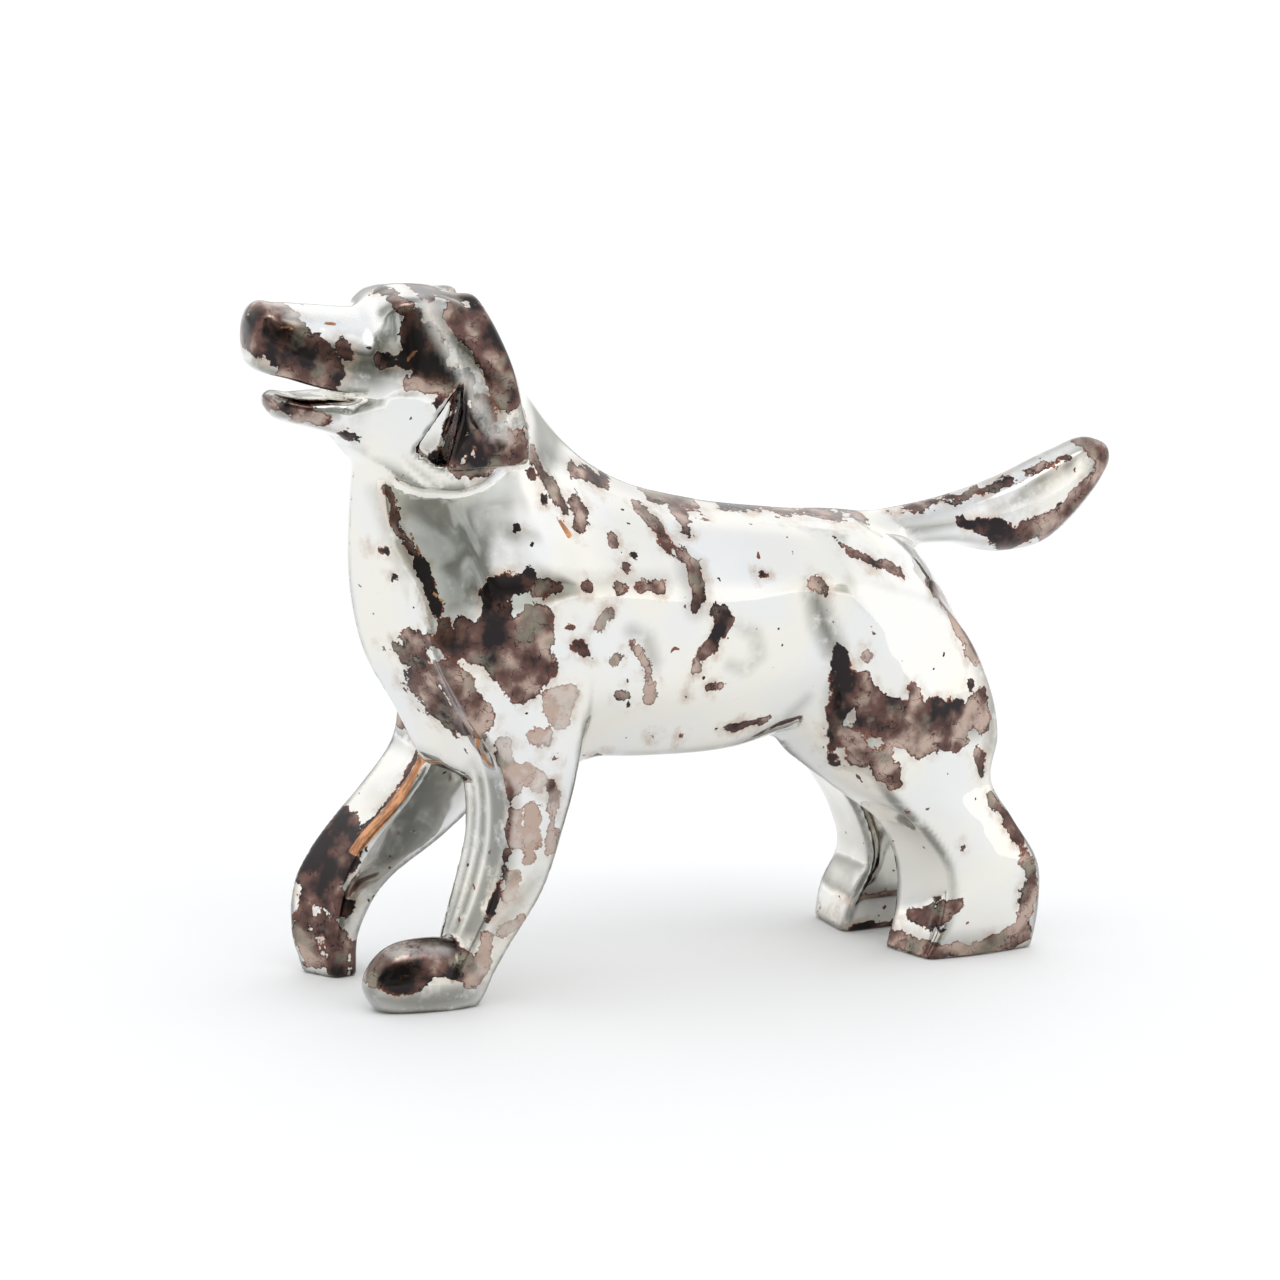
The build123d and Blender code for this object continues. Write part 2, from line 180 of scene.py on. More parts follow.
HIND_LEFT = [
    (49, (5.5, 13), (7.8, 17), (5, 21), (1.5, 21), (1.5, 12)),
    (44, (9.4, 11), (12, 16), (8.2, 24.8), (1.5, 25), (1.5, 10)),
    (38, (12, 13.4), (13.2, 20), (9.2, 31), (1.5, 31.5), (1.5, 10)),
    (31, (12.9, 16), (13.8, 24), (9.8, 34.6), (1.8, 34.8), (2.5, 9.5)),
    (25, (12.9, 18.2), (13.7, 26), (10, 35.8), (2.6, 35.8), (3.5, 10.5)),
    (19.5, (12.8, 21), (13.3, 27.6), (10.2, 35), (3.4, 35.2), (4, 17)),
    (15, (12.5, 25.4), (12.9, 31), (10.6, 37.6), (4, 37.6), (4, 22.8)),
    (10, (12.3, 28.6), (12.8, 34), (11.2, 40.4), (4.4, 40.4), (4.2, 25)),
    (5, (12.4, 28.4), (12.9, 33), (11.5, 40.5), (4.4, 40.4), (4.2, 25.2)),
    (-1, (12, 25.6), (12.4, 32), (11.1, 39.6), (5, 39.4), (4.6, 23.4)),
]
HIND_RIGHT = [
    *opposite(HIND_LEFT[:2]),
    (38, (-12, 13), (-13.2, 20.5), (-9.2, 31), (-1.5, 31.5), (-1.5, 10.5)),
    (31, (-12.6, 15.4), (-13.6, 24), (-9.6, 34), (-1.6, 34), (-1.8, 11)),
    (25, (-12.4, 17.6), (-13, 25.6), (-9.4, 34.8), (-1.8, 34.8), (-1.8, 14)),
    (19.5, (-11.8, 20.2), (-12.2, 27.6), (-9, 34.4), (-1.8, 34.4), (-1.8, 19.8)),
    (13, (-11.2, 23.8), (-11.6, 30), (-9.2, 36.6), (-2.2, 36.6), (-1.8, 24)),
    (8.5, (-11, 24.8), (-11.4, 30.4), (-9.4, 37.2), (-2.6, 37), (-1.8, 25)),
    (4, (-11.2, 22.8), (-11.6, 29.6), (-9.6, 36.8), (-2.6, 36.6), (-1.8, 23)),
    (-1, (-10.4, 21.6), (-10.8, 29), (-9.2, 35.4), (-3.2, 35.2), (-2.6, 21.8)),
]
# Ear flap, along Z, (x, y), for the left ear; the right one is its mirror image.
EAR = [
    (77.5, (2, -30), (4, -29.6), (4.4, -24.6), (2, -24.4)),
    (74, (4, -29.6), (7.4, -28.6), (7.8, -23.6), (4, -22.6)),
    (70, (5.4, -27.8), (9.6, -27.4), (9.8, -22.4), (5.6, -21.4)),
    (66, (6.2, -28.6), (10.4, -28.2), (10.5, -21.6), (6.6, -20.8)),
    (62.5, (6.8, -29.8), (10.9, -29.4), (10.9, -21), (7.2, -20)),
    (59.4, (7.2, -30.8), (10.9, -30.2), (10.7, -21), (7.6, -20)),
]

EAR_POCKET = [(-27.6, 69.4), (-33.2, 61.6), (-29.4, 59.0)]  # corners in (y, z), the top one first
EAR_POCKET_FLOOR = 6.9  # its distance from the centre plane
# A shallow valley runs down the ear flap's outer face: its middle line, (x, y, z), and its radius.
EAR_FOLD = [(10.2, -28.2, 71.0), (10.7, -27.2, 68.2), (11.1, -26.3, 65.4), (11.5, -25.0, 62.8)]
EAR_FOLD_RADIUS = 1.3


# ---- distance fields
def soft_max(distances, soft):
    """The largest of several distances, with the edges between them rounded."""
    stacked = np.stack(distances)
    top = stacked.max(axis=0)
    return top + soft * np.log(np.exp((stacked - top) / soft).sum(axis=0))


def soft_min(first, second, fillet):
    """The smaller of two distances, with a fillet where they cross."""
    overlap = np.maximum(fillet - np.abs(first - second), 0.0) / fillet
    return np.minimum(first, second) - overlap ** 2 * fillet / 4


def smooth_outlines(sections, count=240):
    """Outlines at even steps along a member, on smooth curves through the listed ones."""
    places = np.array([station for station, *outline in sections], float)
    corners = np.array([outline for station, *outline in sections], float)
    if places[0] > places[-1]:
        places, corners = places[::-1], corners[::-1]
    slopes = np.gradient(corners, places, axis=0, edge_order=1)
    steps = np.linspace(places[0], places[-1], count)
    low = np.clip(np.searchsorted(places, steps, side="right") - 1, 0, len(places) - 2)
    span = (places[low + 1] - places[low])[:, None, None]
    part = (steps - places[low])[:, None, None] / span
    curve = (
        (2 * part ** 3 - 3 * part ** 2 + 1) * corners[low]
        + (part ** 3 - 2 * part ** 2 + part) * span * slopes[low]
        + (3 * part ** 2 - 2 * part ** 3) * corners[low + 1]
        + (part ** 3 - part ** 2) * span * slopes[low + 1]
    )
    return steps, curve


class Member:
    """A body part whose outline changes along one axis, as a signed distance in millimetres."""

    def __init__(self, sections, along, soft, mirrored=False):
        self.steps, self.curve = smooth_outlines(sections)
        self.along = along
        self.across = [axis for axis in (X, Y, Z) if axis != along]
        self.soft = soft
        self.mirrored = mirrored
        self.last = self.curve.shape[0] - 1
        ends = self.curve if mirrored else np.concatenate([self.curve, self.curve[:, :1]], axis=1)
        edges = np.diff(ends, axis=1)
        lengths = np.linalg.norm(edges, axis=2, keepdims=True)
        normals = np.stack([-edges[..., 1], edges[..., 0]], axis=2) / np.maximum(lengths, 1e-6)
        middle = self.curve.mean(axis=1, keepdims=True)
        centre = middle * [0, 1] if mirrored else middle
        outward = np.sign((((ends[:, :-1] + ends[:, 1:]) / 2 - centre) * normals).sum(axis=2))
        turn = np.sign(outward.sum(axis=1, keepdims=True))[..., None]
        self.normals = normals * turn
        self.offsets = (self.normals * ends[:, :-1]).sum(axis=2)

    def __call__(self, points):
        along = points[:, self.along]
        across = points[:, self.across[0]]
        up = points[:, self.across[1]]
        if self.mirrored:
            across = np.sqrt(across ** 2 + RIDGE_RADIUS ** 2) - RIDGE_RADIUS
        place = (along - self.steps[0]) / (self.steps[-1] - self.steps[0]) * self.last
        place = np.clip(place, 0, self.last - 1e-6)
        low = place.astype(int)
        part = (place - low)[:, None]
        normals = self.normals[low] * (1 - part[..., None]) + self.normals[low + 1] * part[..., None]
        offsets = self.offsets[low] * (1 - part) + self.offsets[low + 1] * part
        sides = normals[..., 0] * across[:, None] + normals[..., 1] * up[:, None] - offsets
        ends = [self.steps[0] - along, along - self.steps[-1]]
        return soft_max([*sides.T, *ends], self.soft)


def mirror_x(points):
    return points * [-1, 1, 1]


def rod(points, start, end, radius):
    """Distance to a round-ended rod."""
    start = np.array(start, float)
    axis = np.array(end, float) - start
    part = np.clip((points - start) @ axis / (axis @ axis), 0, 1)
    return np.linalg.norm(points - start - part[:, None] * axis, axis=1) - radius


# After its axis, each member says how round its edges are, in millimetres.
trunk = Member(TRUNK, Y, 0.5, mirrored=True)
neck = Member(NECK, Z, 0.45, mirrored=True)
muzzle = Member(MUZZLE, Y, 0.45, mirrored=True)
skull = Member(SKULL, Y, 0.42, mirrored=True)
cheek = Member(CHEEK, Y, 0.5, mirrored=True)
jaw = Member(JAW, Y, 0.35, mirrored=True)
tail_skin = Member(TAIL, Y, 0.3, mirrored=True)
front_left = Member(FRONT_LEFT, Z, 0.28)
front_left_paw = Member(FRONT_LEFT_PAW, Z, 0.8)
front_right = Member(FRONT_RIGHT, Z, 0.3)
hind_left = Member(HIND_LEFT, Z, 0.4)
hind_right = Member(HIND_RIGHT, Z, 0.4)
ear = Member(EAR, Z, 0.4)


def ear_pocket(points):
    """Distance to the three-sided pocket between the cheek and the front edge of the ear."""
    edges = [EAR_POCKET_FLOOR - points[:, X]]
    for (y, z), (next_y, next_z) in zip(EAR_POCKET, EAR_POCKET[1:] + EAR_POCKET[:1]):
        length = math.hypot(next_y - y, next_z - z)
        edges.append(((next_y - y) * (points[:, Z] - z) - (next_z - z) * (points[:, Y] - y)) / -length)
    return soft_max(edges, 0.3)


def figurine(points):
    """Distance to the whole figurine."""
    body = soft_min(trunk(points), neck(points), 3.0)
    head = soft_min(skull(points), muzzle(points), 1.2)
    head = soft_min(head, cheek(points), 0.8)
    head = soft_min(head, jaw(points), 0.5)
    for side in (points, mirror_x(points)):
        head = -soft_min(-head, ear_pocket(side), 0.4)
        flap = ear(side)
        for start, end in zip(EAR_FOLD, EAR_FOLD[1:]):
            flap = -soft_min(-flap, rod(side, start, end, EAR_FOLD_RADIUS), 0.8)
        head = soft_min(head, flap, 0.5)
    body = soft_min(body, head, 0.8)
    left = soft_min(front_left(points), front_left_paw(points), 0.8)
    for leg in (left, front_right(points), hind_left(points), hind_right(points)):
        body = soft_min(body, leg, LEG_FILLET)
    body = soft_min(body, tail_skin(points), 1.0)
    return soft_max([body, -points[:, Z]], FLOOR_EDGE)


# ---- meshing
def refined(grid):
    """A coarse grid, with each value repeated over its fine cells."""
    for axis in range(3):
        grid = np.repeat(grid, COARSE_FACTOR, axis)
    return grid


def sample(field, low, high):
    """A grid of distances, exact near the skin and only signed elsewhere."""
    coarse_step = GRID_STEP * COARSE_FACTOR
    low = np.floor(np.array(low) / coarse_step) * coarse_step
    counts = np.ceil((np.array(high) - low) / coarse_step).astype(int)
    axes = [low[axis] + coarse_step * (np.arange(counts[axis]) + 0.5) for axis in range(3)]
    centres = np.stack(np.meshgrid(*axes, indexing="ij"), axis=-1).reshape(-1, 3)
    coarse = field(centres).reshape(counts)
    values = refined(coarse)
    near = refined(np.abs(coarse) < coarse_step * NEAR_SKIN)
    first = low + GRID_STEP / 2
    values[near] = field(first + np.argwhere(near) * GRID_STEP)
    return values, first


def surface_net(values, first):
    """Points and quads of the zero surface: one point in each cell that it crosses."""
    inside = values < 0
    corner_shifts = [(i, j, k) for i in (0, 1) for j in (0, 1) for k in (0, 1)]
    size = np.array(values.shape) - 1

    def corner(grid, shift):
        return grid[tuple(slice(s, s + n) for s, n in zip(shift, size))]

    filled = sum(corner(inside, shift).astype(np.int8) for shift in corner_shifts)
    cells = np.argwhere((filled > 0) & (filled < 8))
    number = np.full(size, -1)
    number[tuple(cells.T)] = np.arange(len(cells))
    total = np.zeros((len(cells), 3))
    crossings = np.zeros(len(cells))
    for start in corner_shifts:
        for axis in range(3):
            if start[axis]:
                continue
            end = tuple(1 if i == axis else s for i, s in enumerate(start))
            at_start = values[tuple((cells + start).T)]
            at_end = values[tuple((cells + end).T)]
            crossed = (at_start < 0) != (at_end < 0)
            part = np.where(crossed, at_start / np.where(crossed, at_start - at_end, 1.0), 0.0)
            spot = np.array(start, float) + part[:, None] * (np.arange(3) == axis)
            total += np.where(crossed[:, None], spot, 0.0)
            crossings += crossed
    points = first + (cells + total / crossings[:, None]) * GRID_STEP
    quads = []
    for axis in range(3):
        one, two = [other for other in range(3) if other != axis]
        step = np.eye(3, dtype=int)
        before = inside[tuple(slice(1, -1) if i != axis else slice(0, -1) for i in range(3))]
        after = inside[tuple(slice(1, -1) if i != axis else slice(1, None) for i in range(3))]
        for flip, crossed in ((False, before & ~after), (True, ~before & after)):
            base = np.argwhere(crossed) + 1 - step[axis]
            ring = [base - step[one] - step[two], base - step[two], base, base - step[one]]
            if axis == 1:
                ring = ring[::-1]
            if flip:
                ring = ring[::-1]
            quads.append(np.stack([number[tuple(spot.T)] for spot in ring], axis=1))
    return points, np.concatenate(quads)


def gradient(field, points, reach=0.02):
    """The field's slope at each point."""
    slopes = []
    for axis in range(3):
        nudge = np.eye(3)[axis] * reach
        slopes.append((field(points + nudge) - field(points - nudge)) / (2 * reach))
    return np.stack(slopes, axis=1)


def settle(field, points, quads, rounds=4):
    """Even the points out over the surface and set them exactly on it."""
    ends = np.concatenate([quads[:, [0, 1]], quads[:, [1, 2]], quads[:, [2, 3]], quads[:, [3, 0]]])
    starts, neighbours = np.concatenate([ends, ends[:, ::-1]]).T
    degree = np.bincount(starts, minlength=len(points))[:, None]
    for turn in range(rounds):
        totals = [np.bincount(starts, points[neighbours, axis], len(points)) for axis in range(3)]
        points = points + 0.5 * (np.stack(totals, axis=1) / degree - points)
        for repeat in range(2):
            slope = gradient(field, points)
            points = points - field(points)[:, None] * slope / (slope ** 2).sum(axis=1, keepdims=True)
    return points


# ---- pieces
def to_frame(points):
    """Sculpting millimetres to the frame's metres."""
    return (points + [0, SHIFT_Y, 0]) * MM


def to_sculpt(points):
    """The frame's metres to sculpting millimetres."""
    return points / MM - [0, SHIFT_Y, 0]


def mesh_object(name, points, faces):
    mesh = bpy.data.meshes.new(name)
    mesh.from_pydata(points.tolist(), [], [list(face) for face in faces])
    mesh.update()
    piece = bpy.data.objects.new(name, mesh)
    bpy.context.scene.collection.objects.link(piece)
    return piece


def prism(outline, left, right):
    """A closed prism over an outline in (y, z), from one X to another."""
    count = len(outline)
    points = np.array([(x, y, z) for x in (left, right) for y, z in outline])
    sides = [(i, (i + 1) % count, count + (i + 1) % count, count + i) for i in range(count)]
    cutter = mesh_object("cutter", to_frame(points), [range(count)[::-1], range(count, 2 * count), *sides])
    form = bmesh.new()
    form.from_mesh(cutter.data)
    bmesh.ops.recalc_face_normals(form, faces=form.faces)
    form.to_mesh(cutter.data)
    form.free()
    return cutter


def cut_piece(name, whole, outline, left, right):
    """The part of the whole figurine inside a prism, as a closed mesh."""
    piece = whole.copy()
    piece.data = whole.data.copy()
    piece.name = name
    bpy.context.scene.collection.objects.link(piece)
    cutter = prism(outline, left, right)
    cut = piece.modifiers.new("cut", "BOOLEAN")
    cut.operation = "INTERSECT"
    cut.solver = "EXACT"
    cut.object = cutter
    graph = bpy.context.evaluated_depsgraph_get()
    piece.data = bpy.data.meshes.new_from_object(piece.evaluated_get(graph))
    piece.data.name = name
    piece.modifiers.clear()
    bpy.data.objects.remove(cutter)
    return piece


def vertex_places(mesh):
    places = np.empty(len(mesh.vertices) * 3)
    mesh.vertices.foreach_get("co", places)
    return places.reshape(-1, 3)


def smooth_normals(piece):
    """Normals from the field itself on the skin, and flat ones on the joint faces."""
    mesh = piece.data
    slopes = gradient(figurine, to_sculpt(vertex_places(mesh)))
    slopes /= np.linalg.norm(slopes, axis=1, keepdims=True)
    centres = np.empty(len(mesh.polygons) * 3)
    mesh.polygons.foreach_get("center", centres)
    buried = figurine(to_sculpt(centres.reshape(-1, 3))) < -JOINT_FACE_DEPTH
    loop_normals = np.empty((len(mesh.loops), 3))
    for face in mesh.polygons:
        face.use_smooth = True
        span = slice(face.loop_start, face.loop_start + face.loop_total)
        loop_normals[span] = face.normal if buried[face.index] else slopes[face.vertices]
    mesh.normals_split_custom_set(loop_normals.tolist())


def cut_skins():
    """The skins of the three castings, cut from one mesh of the whole figurine."""
    points, quads = surface_net(*sample(figurine, GRID_LOW, GRID_HIGH))
    whole = mesh_object("whole", to_frame(settle(figurine, points, quads)), quads)
    slope = [(TAIL_JOINT_Y, TAIL_SEAT_Z), (CUT_END_Y, CUT_SLOPE_Z)]
    tail_cut = [*slope, (CUT_END_Y, CUT_TOP_Z), (TAIL_JOINT_Y, CUT_TOP_Z)]
    body_cut = [(-CUT_END_Y, CUT_LOW_Z), (CUT_END_Y, CUT_LOW_Z), *slope[::-1]]
    body_cut += [(TAIL_JOINT_Y, CUT_TOP_Z), (-CUT_END_Y, CUT_TOP_Z)]
    cuts = [
        ("left_half_casting", body_cut, 0.0, CUT_WIDTH),
        ("right_half_casting", body_cut, -CUT_WIDTH, 0.0),
        ("tail_casting", tail_cut, -CUT_WIDTH, CUT_WIDTH),
    ]
    skins = []
    for node, outline, left, right in cuts:
        piece = cut_piece(node + "_skin", whole, outline, left, right)
        smooth_normals(piece)
        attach(piece, "root")
        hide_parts(node)
        skins.append(piece)
    bpy.data.objects.remove(whole)
    return skins


skins = cut_skins()


# ---- tarnish, grey haze, painted reflections and painted highlights
# A patch is its darkness and then a chain of round blots, each (y, z, radius) in sculpting millimetres.
# Darkness runs from 0, a thin pink-brown skin, to 1, near black.
HEAD_PATCHES = [
    (0.8, (-48.8, 74.2, 1.9), (-46, 73.4, 2.5), (-43.6, 71.6, 2.5), (-42, 69.8, 1.8)),
    (0.4, (-48.6, 76.6, 1), (-45.8, 76.6, 1)),
    (1.0, (-48.4, 76, 0.2), (-48.2, 72.8, 0.25), (-47.4, 71.2, 0.3)),
    (0.45, (-46.2, 70.2, 0.8), (-43.8, 68.4, 0.9), (-41.8, 68.2, 0.7)),
    (0.55, (-40.1, 72.9, 0.9), (-39.8, 71.9, 0.6)),
    (0.7, (-36, 71.1, 0.8)),
    (0.75, (-33.8, 77.4, 0.7), (-32.7, 75.6, 1.1), (-33, 73.2, 1.5)),
    (1.0, (-33.4, 71.4, 1.2), (-31.4, 70.2, 1.2), (-29.2, 69.6, 1), (-27.8, 69, 0.8)),
    (0.72, (-31.4, 73.6, 1.5), (-30.6, 71.6, 1.4)),
    (0.58, (-28, 75.6, 1.4), (-25.6, 73.6, 1.8), (-24.2, 70.6, 2.2), (-23.2, 67.4, 1.8)),
    (0.8, (-25.2, 76, 0.7), (-22.8, 72.6, 1), (-21.4, 68.8, 0.9)),
    (0.62, (-26.4, 66.2, 1.3), (-26.6, 63.2, 1.8), (-25.4, 61.6, 1.6), (-22.8, 62, 1.5)),
    (0.85, (-28.4, 62.2, 0.6), (-27.6, 60.6, 0.6)),
    (0.3, (-33.6, 68.8, 0.7), (-31.6, 68.6, 0.9), (-29.8, 68.4, 0.7)),
    (0.9, (-30.9, 66.8, 0.35)),
    (1.0, (-27.6, 68.8, 0.6), (-28.2, 65.2, 0.8), (-29.2, 61.4, 0.9), (-30.2, 60.4, 0.8)),
    (0.7, (-31, 78, 0.4), (-28, 77.6, 0.5), (-25, 76.6, 0.5)),
    (0.6, (-29.6, 59.7, 0.7), (-27, 59.5, 1), (-25.8, 59.7, 1), (-23.2, 60.2, 0.9), (-21.4, 60.8, 0.8)),
    (0.45, (-21.6, 72.6, 0.5), (-20.6, 67, 0.6), (-20.4, 62.6, 0.6)),
    (0.5, (-47.4, 66.5, 0.8)),
    (0.95, (-46.4, 66.4, 0.25), (-43.6, 66.4, 0.3)),
    (0.25, (-44.2, 65.2, 0.9), (-42.2, 65, 0.8)),
    (1.0, (-41.6, 64.8, 0.45)),
    (1.0, (-39.8, 63, 0.4), (-38.6, 62.7, 0.2)),
]
NECK_PATCHES = [
    (0.6, (-35.4, 57.4, 0.2), (-34.6, 53, 0.25), (-33.2, 50.3, 0.3)),
    (0.98, (-32.9, 49.3, 0.7), (-32.3, 47.4, 0.6), (-31.8, 45.2, 0.4), (-31.5, 43.8, 0.5)),
    (0.85, (-31, 43.2, 0.8), (-30.8, 41.4, 1.3), (-30, 40.2, 1.1)),
    (1.0, (-35.9, 50.5, 0.25)),
    (1.0, (-35.2, 47.6, 0.22)),
    (0.45, (-34.4, 39.6, 0.6), (-33.8, 38.6, 0.3)),
    (0.8, (-20, 58.4, 0.7)),
    (0.45, (-19.8, 60.6, 0.7), (-18.2, 58, 0.5), (-17, 56, 0.6), (-16.2, 54, 0.6)),
    (0.85, (-18.9, 55.3, 0.35)),
    (0.9, (-22.4, 52.5, 0.4)),
    (0.6, (-14.2, 54.4, 0.9), (-13.6, 53.2, 0.7), (-15, 52.2, 0.8)),
]
SHOULDER_PATCHES = [
    (0.98, (-25.8, 46, 1.6), (-24, 47, 1.2), (-22, 47.6, 0.9), (-21.8, 48.4, 0.6)),
    (0.98, (-25.4, 44.4, 1.6), (-26.4, 42.4, 1.5), (-28.2, 41.6, 1.1)),
    (0.75, (-29.2, 43, 0.9), (-28.6, 41.6, 1.2)),
    (0.5, (-20.6, 46.4, 0.9), (-18.8, 46.8, 0.6)),
    (0.58, (-28.6, 39.6, 0.9), (-26.4, 39.6, 1.4), (-24.8, 38, 1.6), (-23.6, 35.4, 1.2)),
    (0.52, (-23.6, 41, 2.6), (-21.6, 42.6, 2.2), (-22.8, 37.4, 2.5), (-20.8, 38.6, 1.8)),
    (0.2, (-19.2, 33.8, 1.4), (-17.8, 34.8, 1), (-18.8, 31.8, 1.1)),
    (0.62, (-33.6, 41, 0.8), (-33, 38.8, 1)),
    (0.5, (-32.4, 36.8, 1), (-31, 34.2, 1), (-29.4, 32, 0.9), (-27.6, 30, 0.8)),
    (0.95, (-29.8, 32.4, 0.3), (-27.6, 29.8, 0.4), (-25.4, 27.2, 0.3)),
    (0.46, (-30.8, 38, 1.3), (-28.8, 35.2, 1.5), (-27.2, 32.4, 1.3)),
    (0.2, (-24.8, 29.6, 0.7), (-24.2, 27, 1), (-23.6, 24.6, 1)),
    (0.22, (-21.6, 30.2, 0.8), (-19.8, 30.4, 0.7)),
    (0.5, (-18.8, 27.6, 0.4)),
    (0.5, (-21.8, 25.6, 0.6)),
    (0.4, (-19.4, 24.6, 0.5)),
]
BODY_PATCHES = [
    (0.55, (-13.6, 57.6, 0.4), (-9, 55.6, 0.5)),
    (0.55, (-3.6, 54, 0.7), (-1, 53, 0.9), (1.6, 52.4, 0.6)),
    (0.5, (-1.4, 51.6, 0.7), (-1.8, 50.6, 0.5)),
    (0.6, (5, 52, 0.2), (10, 51.2, 0.15), (18, 50, 0.3), (22, 49.6, 0.3)),
    (0.4, (-6.2, 53, 0.5), (-5, 51.4, 0.6), (-4.6, 49.4, 0.5)),
    (0.35, (-10.9, 50.4, 0.4)),
    (1.0, (-9, 48.9, 0.2)),
    (0.35, (-10.4, 47.8, 0.5)),
    (0.42, (-3, 48.6, 0.7), (-2, 47.4, 0.6), (-2.4, 45.8, 1)),
    (0.75, (-2.4, 44.2, 1), (-2.8, 42.8, 0.6)),
    (0.48, (-15.8, 46.4, 0.5)),
    (0.5, (-11.8, 45.8, 0.6)),
    (0.42, (-9, 45.8, 0.5), (-6.6, 45.6, 0.4)),
    (0.3, (-13.4, 43.4, 0.6), (-14.4, 42.2, 0.5)),
    (0.7, (-18.2, 42, 0.3), (-17.2, 42.1, 0.2)),
    (0.55, (-17, 40.3, 0.5), (-15.2, 38.6, 0.25)),
    (0.35, (-12.4, 38.5, 0.6)),
    (0.32, (-9.8, 40, 0.35), (-8.9, 38, 0.35), (-8.5, 35.8, 0.45), (-8, 33.6, 0.8)),
    (0.62, (-11.8, 34.2, 0.5), (-11, 33.8, 0.4)),
    (1.0, (-10.3, 32.8, 0.3)),
    (0.8, (0.2, 42.4, 0.8), (1, 41, 0.8), (-0.4, 39.4, 0.6)),
    (0.62, (-0.8, 38.6, 0.7), (-1.6, 37.6, 0.6)),
    (0.3, (-2.2, 36.4, 0.7)),
    (0.42, (-0.4, 34, 0.3), (0.4, 33.6, 0.5)),
    (1.0, (-3.6, 33.4, 0.25)),
    (0.95, (6, 45.6, 0.4)),
    (0.45, (2.2, 28.4, 0.25), (4.1, 28.6, 0.5), (5.4, 28.8, 0.5), (7.2, 29.1, 0.35)),
    (0.6, (-6.8, 28.8, 0.2)),
    (0.6, (-6.3, 28.2, 0.25)),
    (0.6, (-3.1, 27.8, 0.25)),
    (0.9, (-12.4, 26, 0.5)),
]
HAUNCH_PATCHES = [
    (0.35, (11.8, 44.4, 0.8), (13.2, 43.8, 0.5)),
    (0.95, (14.7, 37, 0.8), (15, 34.4, 0.9), (15.6, 31.4, 0.9), (15, 28.2, 0.5), (15.6, 23.2, 0.4)),
    (0.52, (19.4, 28, 1.3), (25, 27.4, 1.3), (30, 27, 1.4), (32.6, 28.6, 1.4)),
    (0.55, (16, 48.2, 0.25), (19.5, 46, 0.3), (23.2, 44.4, 0.5)),
    (0.3, (28.4, 42, 0.7), (30.8, 38, 0.9), (32.6, 34, 1)),
    (0.28, (17.6, 36, 0.7)),
    (0.66, (17.2, 33, 1.1), (18.4, 30.6, 1.5), (17.8, 28.2, 1.2)),
    (0.72, (20.6, 29.8, 1.5), (23, 29.2, 1.4), (25.8, 28.9, 1.5), (28.8, 28.6, 1.4)),
    (0.35, (23.2, 32.2, 0.6), (23.6, 30.8, 0.8)),
    (1.0, (31.6, 31.2, 0.65)),
    (0.45, (32.4, 29.2, 1.2), (33, 26.8, 1.2)),
    (0.35, (20.4, 26.6, 0.9), (25, 26.2, 0.9), (30, 26.2, 0.9)),
    (0.62, (23.6, 25, 0.7), (26.2, 25, 0.45), (28.8, 24.9, 0.4), (30.8, 24.9, 0.4)),
    (0.62, (32, 23.6, 0.6), (32.9, 21.8, 0.5), (33, 20.6, 0.4)),
    (0.42, (19.6, 24.4, 1.4), (20.6, 22.8, 1.3), (21, 21.4, 0.9)),
    (0.35, (16.4, 26.6, 1.2), (17.8, 24.4, 1.2)),
    (0.5, (34.4, 18, 0.4), (36.8, 14.8, 0.7), (38.2, 12.2, 0.6), (38.9, 8.4, 0.9), (38.4, 4.6, 1.1)),
    (0.42, (37.6, 2.2, 1.4), (33.6, 0.8, 0.9), (30.4, 0.9, 0.8), (27, 1, 0.9), (24, 1.2, 0.9)),
    (0.82, (29.6, 6.6, 0.6), (28.6, 5.4, 0.6), (26.8, 3.8, 0.7)),
    (0.7, (30, 13, 0.25)),
]
TAIL_PATCHES = [
    (0.6, (26, 49.6, 0.2), (34, 50.6, 0.15), (40, 51.8, 0.15), (47.6, 54.6, 0.2)),
    (0.85, (34, 48.2, 0.5), (37, 47.2, 1), (39.6, 46.4, 1.4), (40.6, 44.8, 0.9)),
    (0.55, (42, 46.4, 1.4), (45, 46.8, 1.5), (48, 49, 1.3), (50.6, 51.6, 1.1)),
    (0.62, (50, 56.2, 0.8), (52.2, 54.6, 1.3), (52.2, 52.4, 1.3)),
]
FRONT_LEFT_PATCHES = [
    (0.12, (-23.6, 21.8, 0.8), (-23.4, 18.4, 0.8)),
    (0.22, (-21.6, 22.2, 0.7), (-21.4, 18.8, 1), (-21.8, 16.6, 0.7)),
    (0.24, (-19, 23.4, 0.4), (-19, 17.4, 0.6)),
    (0.1, (-22.4, 26.8, 0.8), (-20.8, 25, 0.8)),
    (0.08, (-23.4, 14.8, 0.8), (-24, 12.4, 0.7)),
    (0.92, (-24.4, 25.6, 0.2), (-23.8, 22.8, 0.25), (-24.6, 15.2, 0.3), (-26.4, 10, 0.3)),
    (0.2, (-24.2, 8.4, 0.8), (-22.6, 9.4, 0.6)),
    (0.22, (-26.4, 7.8, 0.8), (-27, 5.2, 1.2)),
    (1.0, (-28.2, 8.2, 0.3)),
]
LEFT_PAW_PATCHES = [
    (0.66, (-38.2, 4.6, 1.5), (-36, 6.2, 2), (-32.4, 6.2, 2), (-29.4, 5.2, 1.6)),
    (0.95, (-37.4, 3.8, 0.9), (-35.4, 3.6, 1.1), (-33.8, 4, 0.8)),
    (0.3, (-28, 3.6, 1)),
]
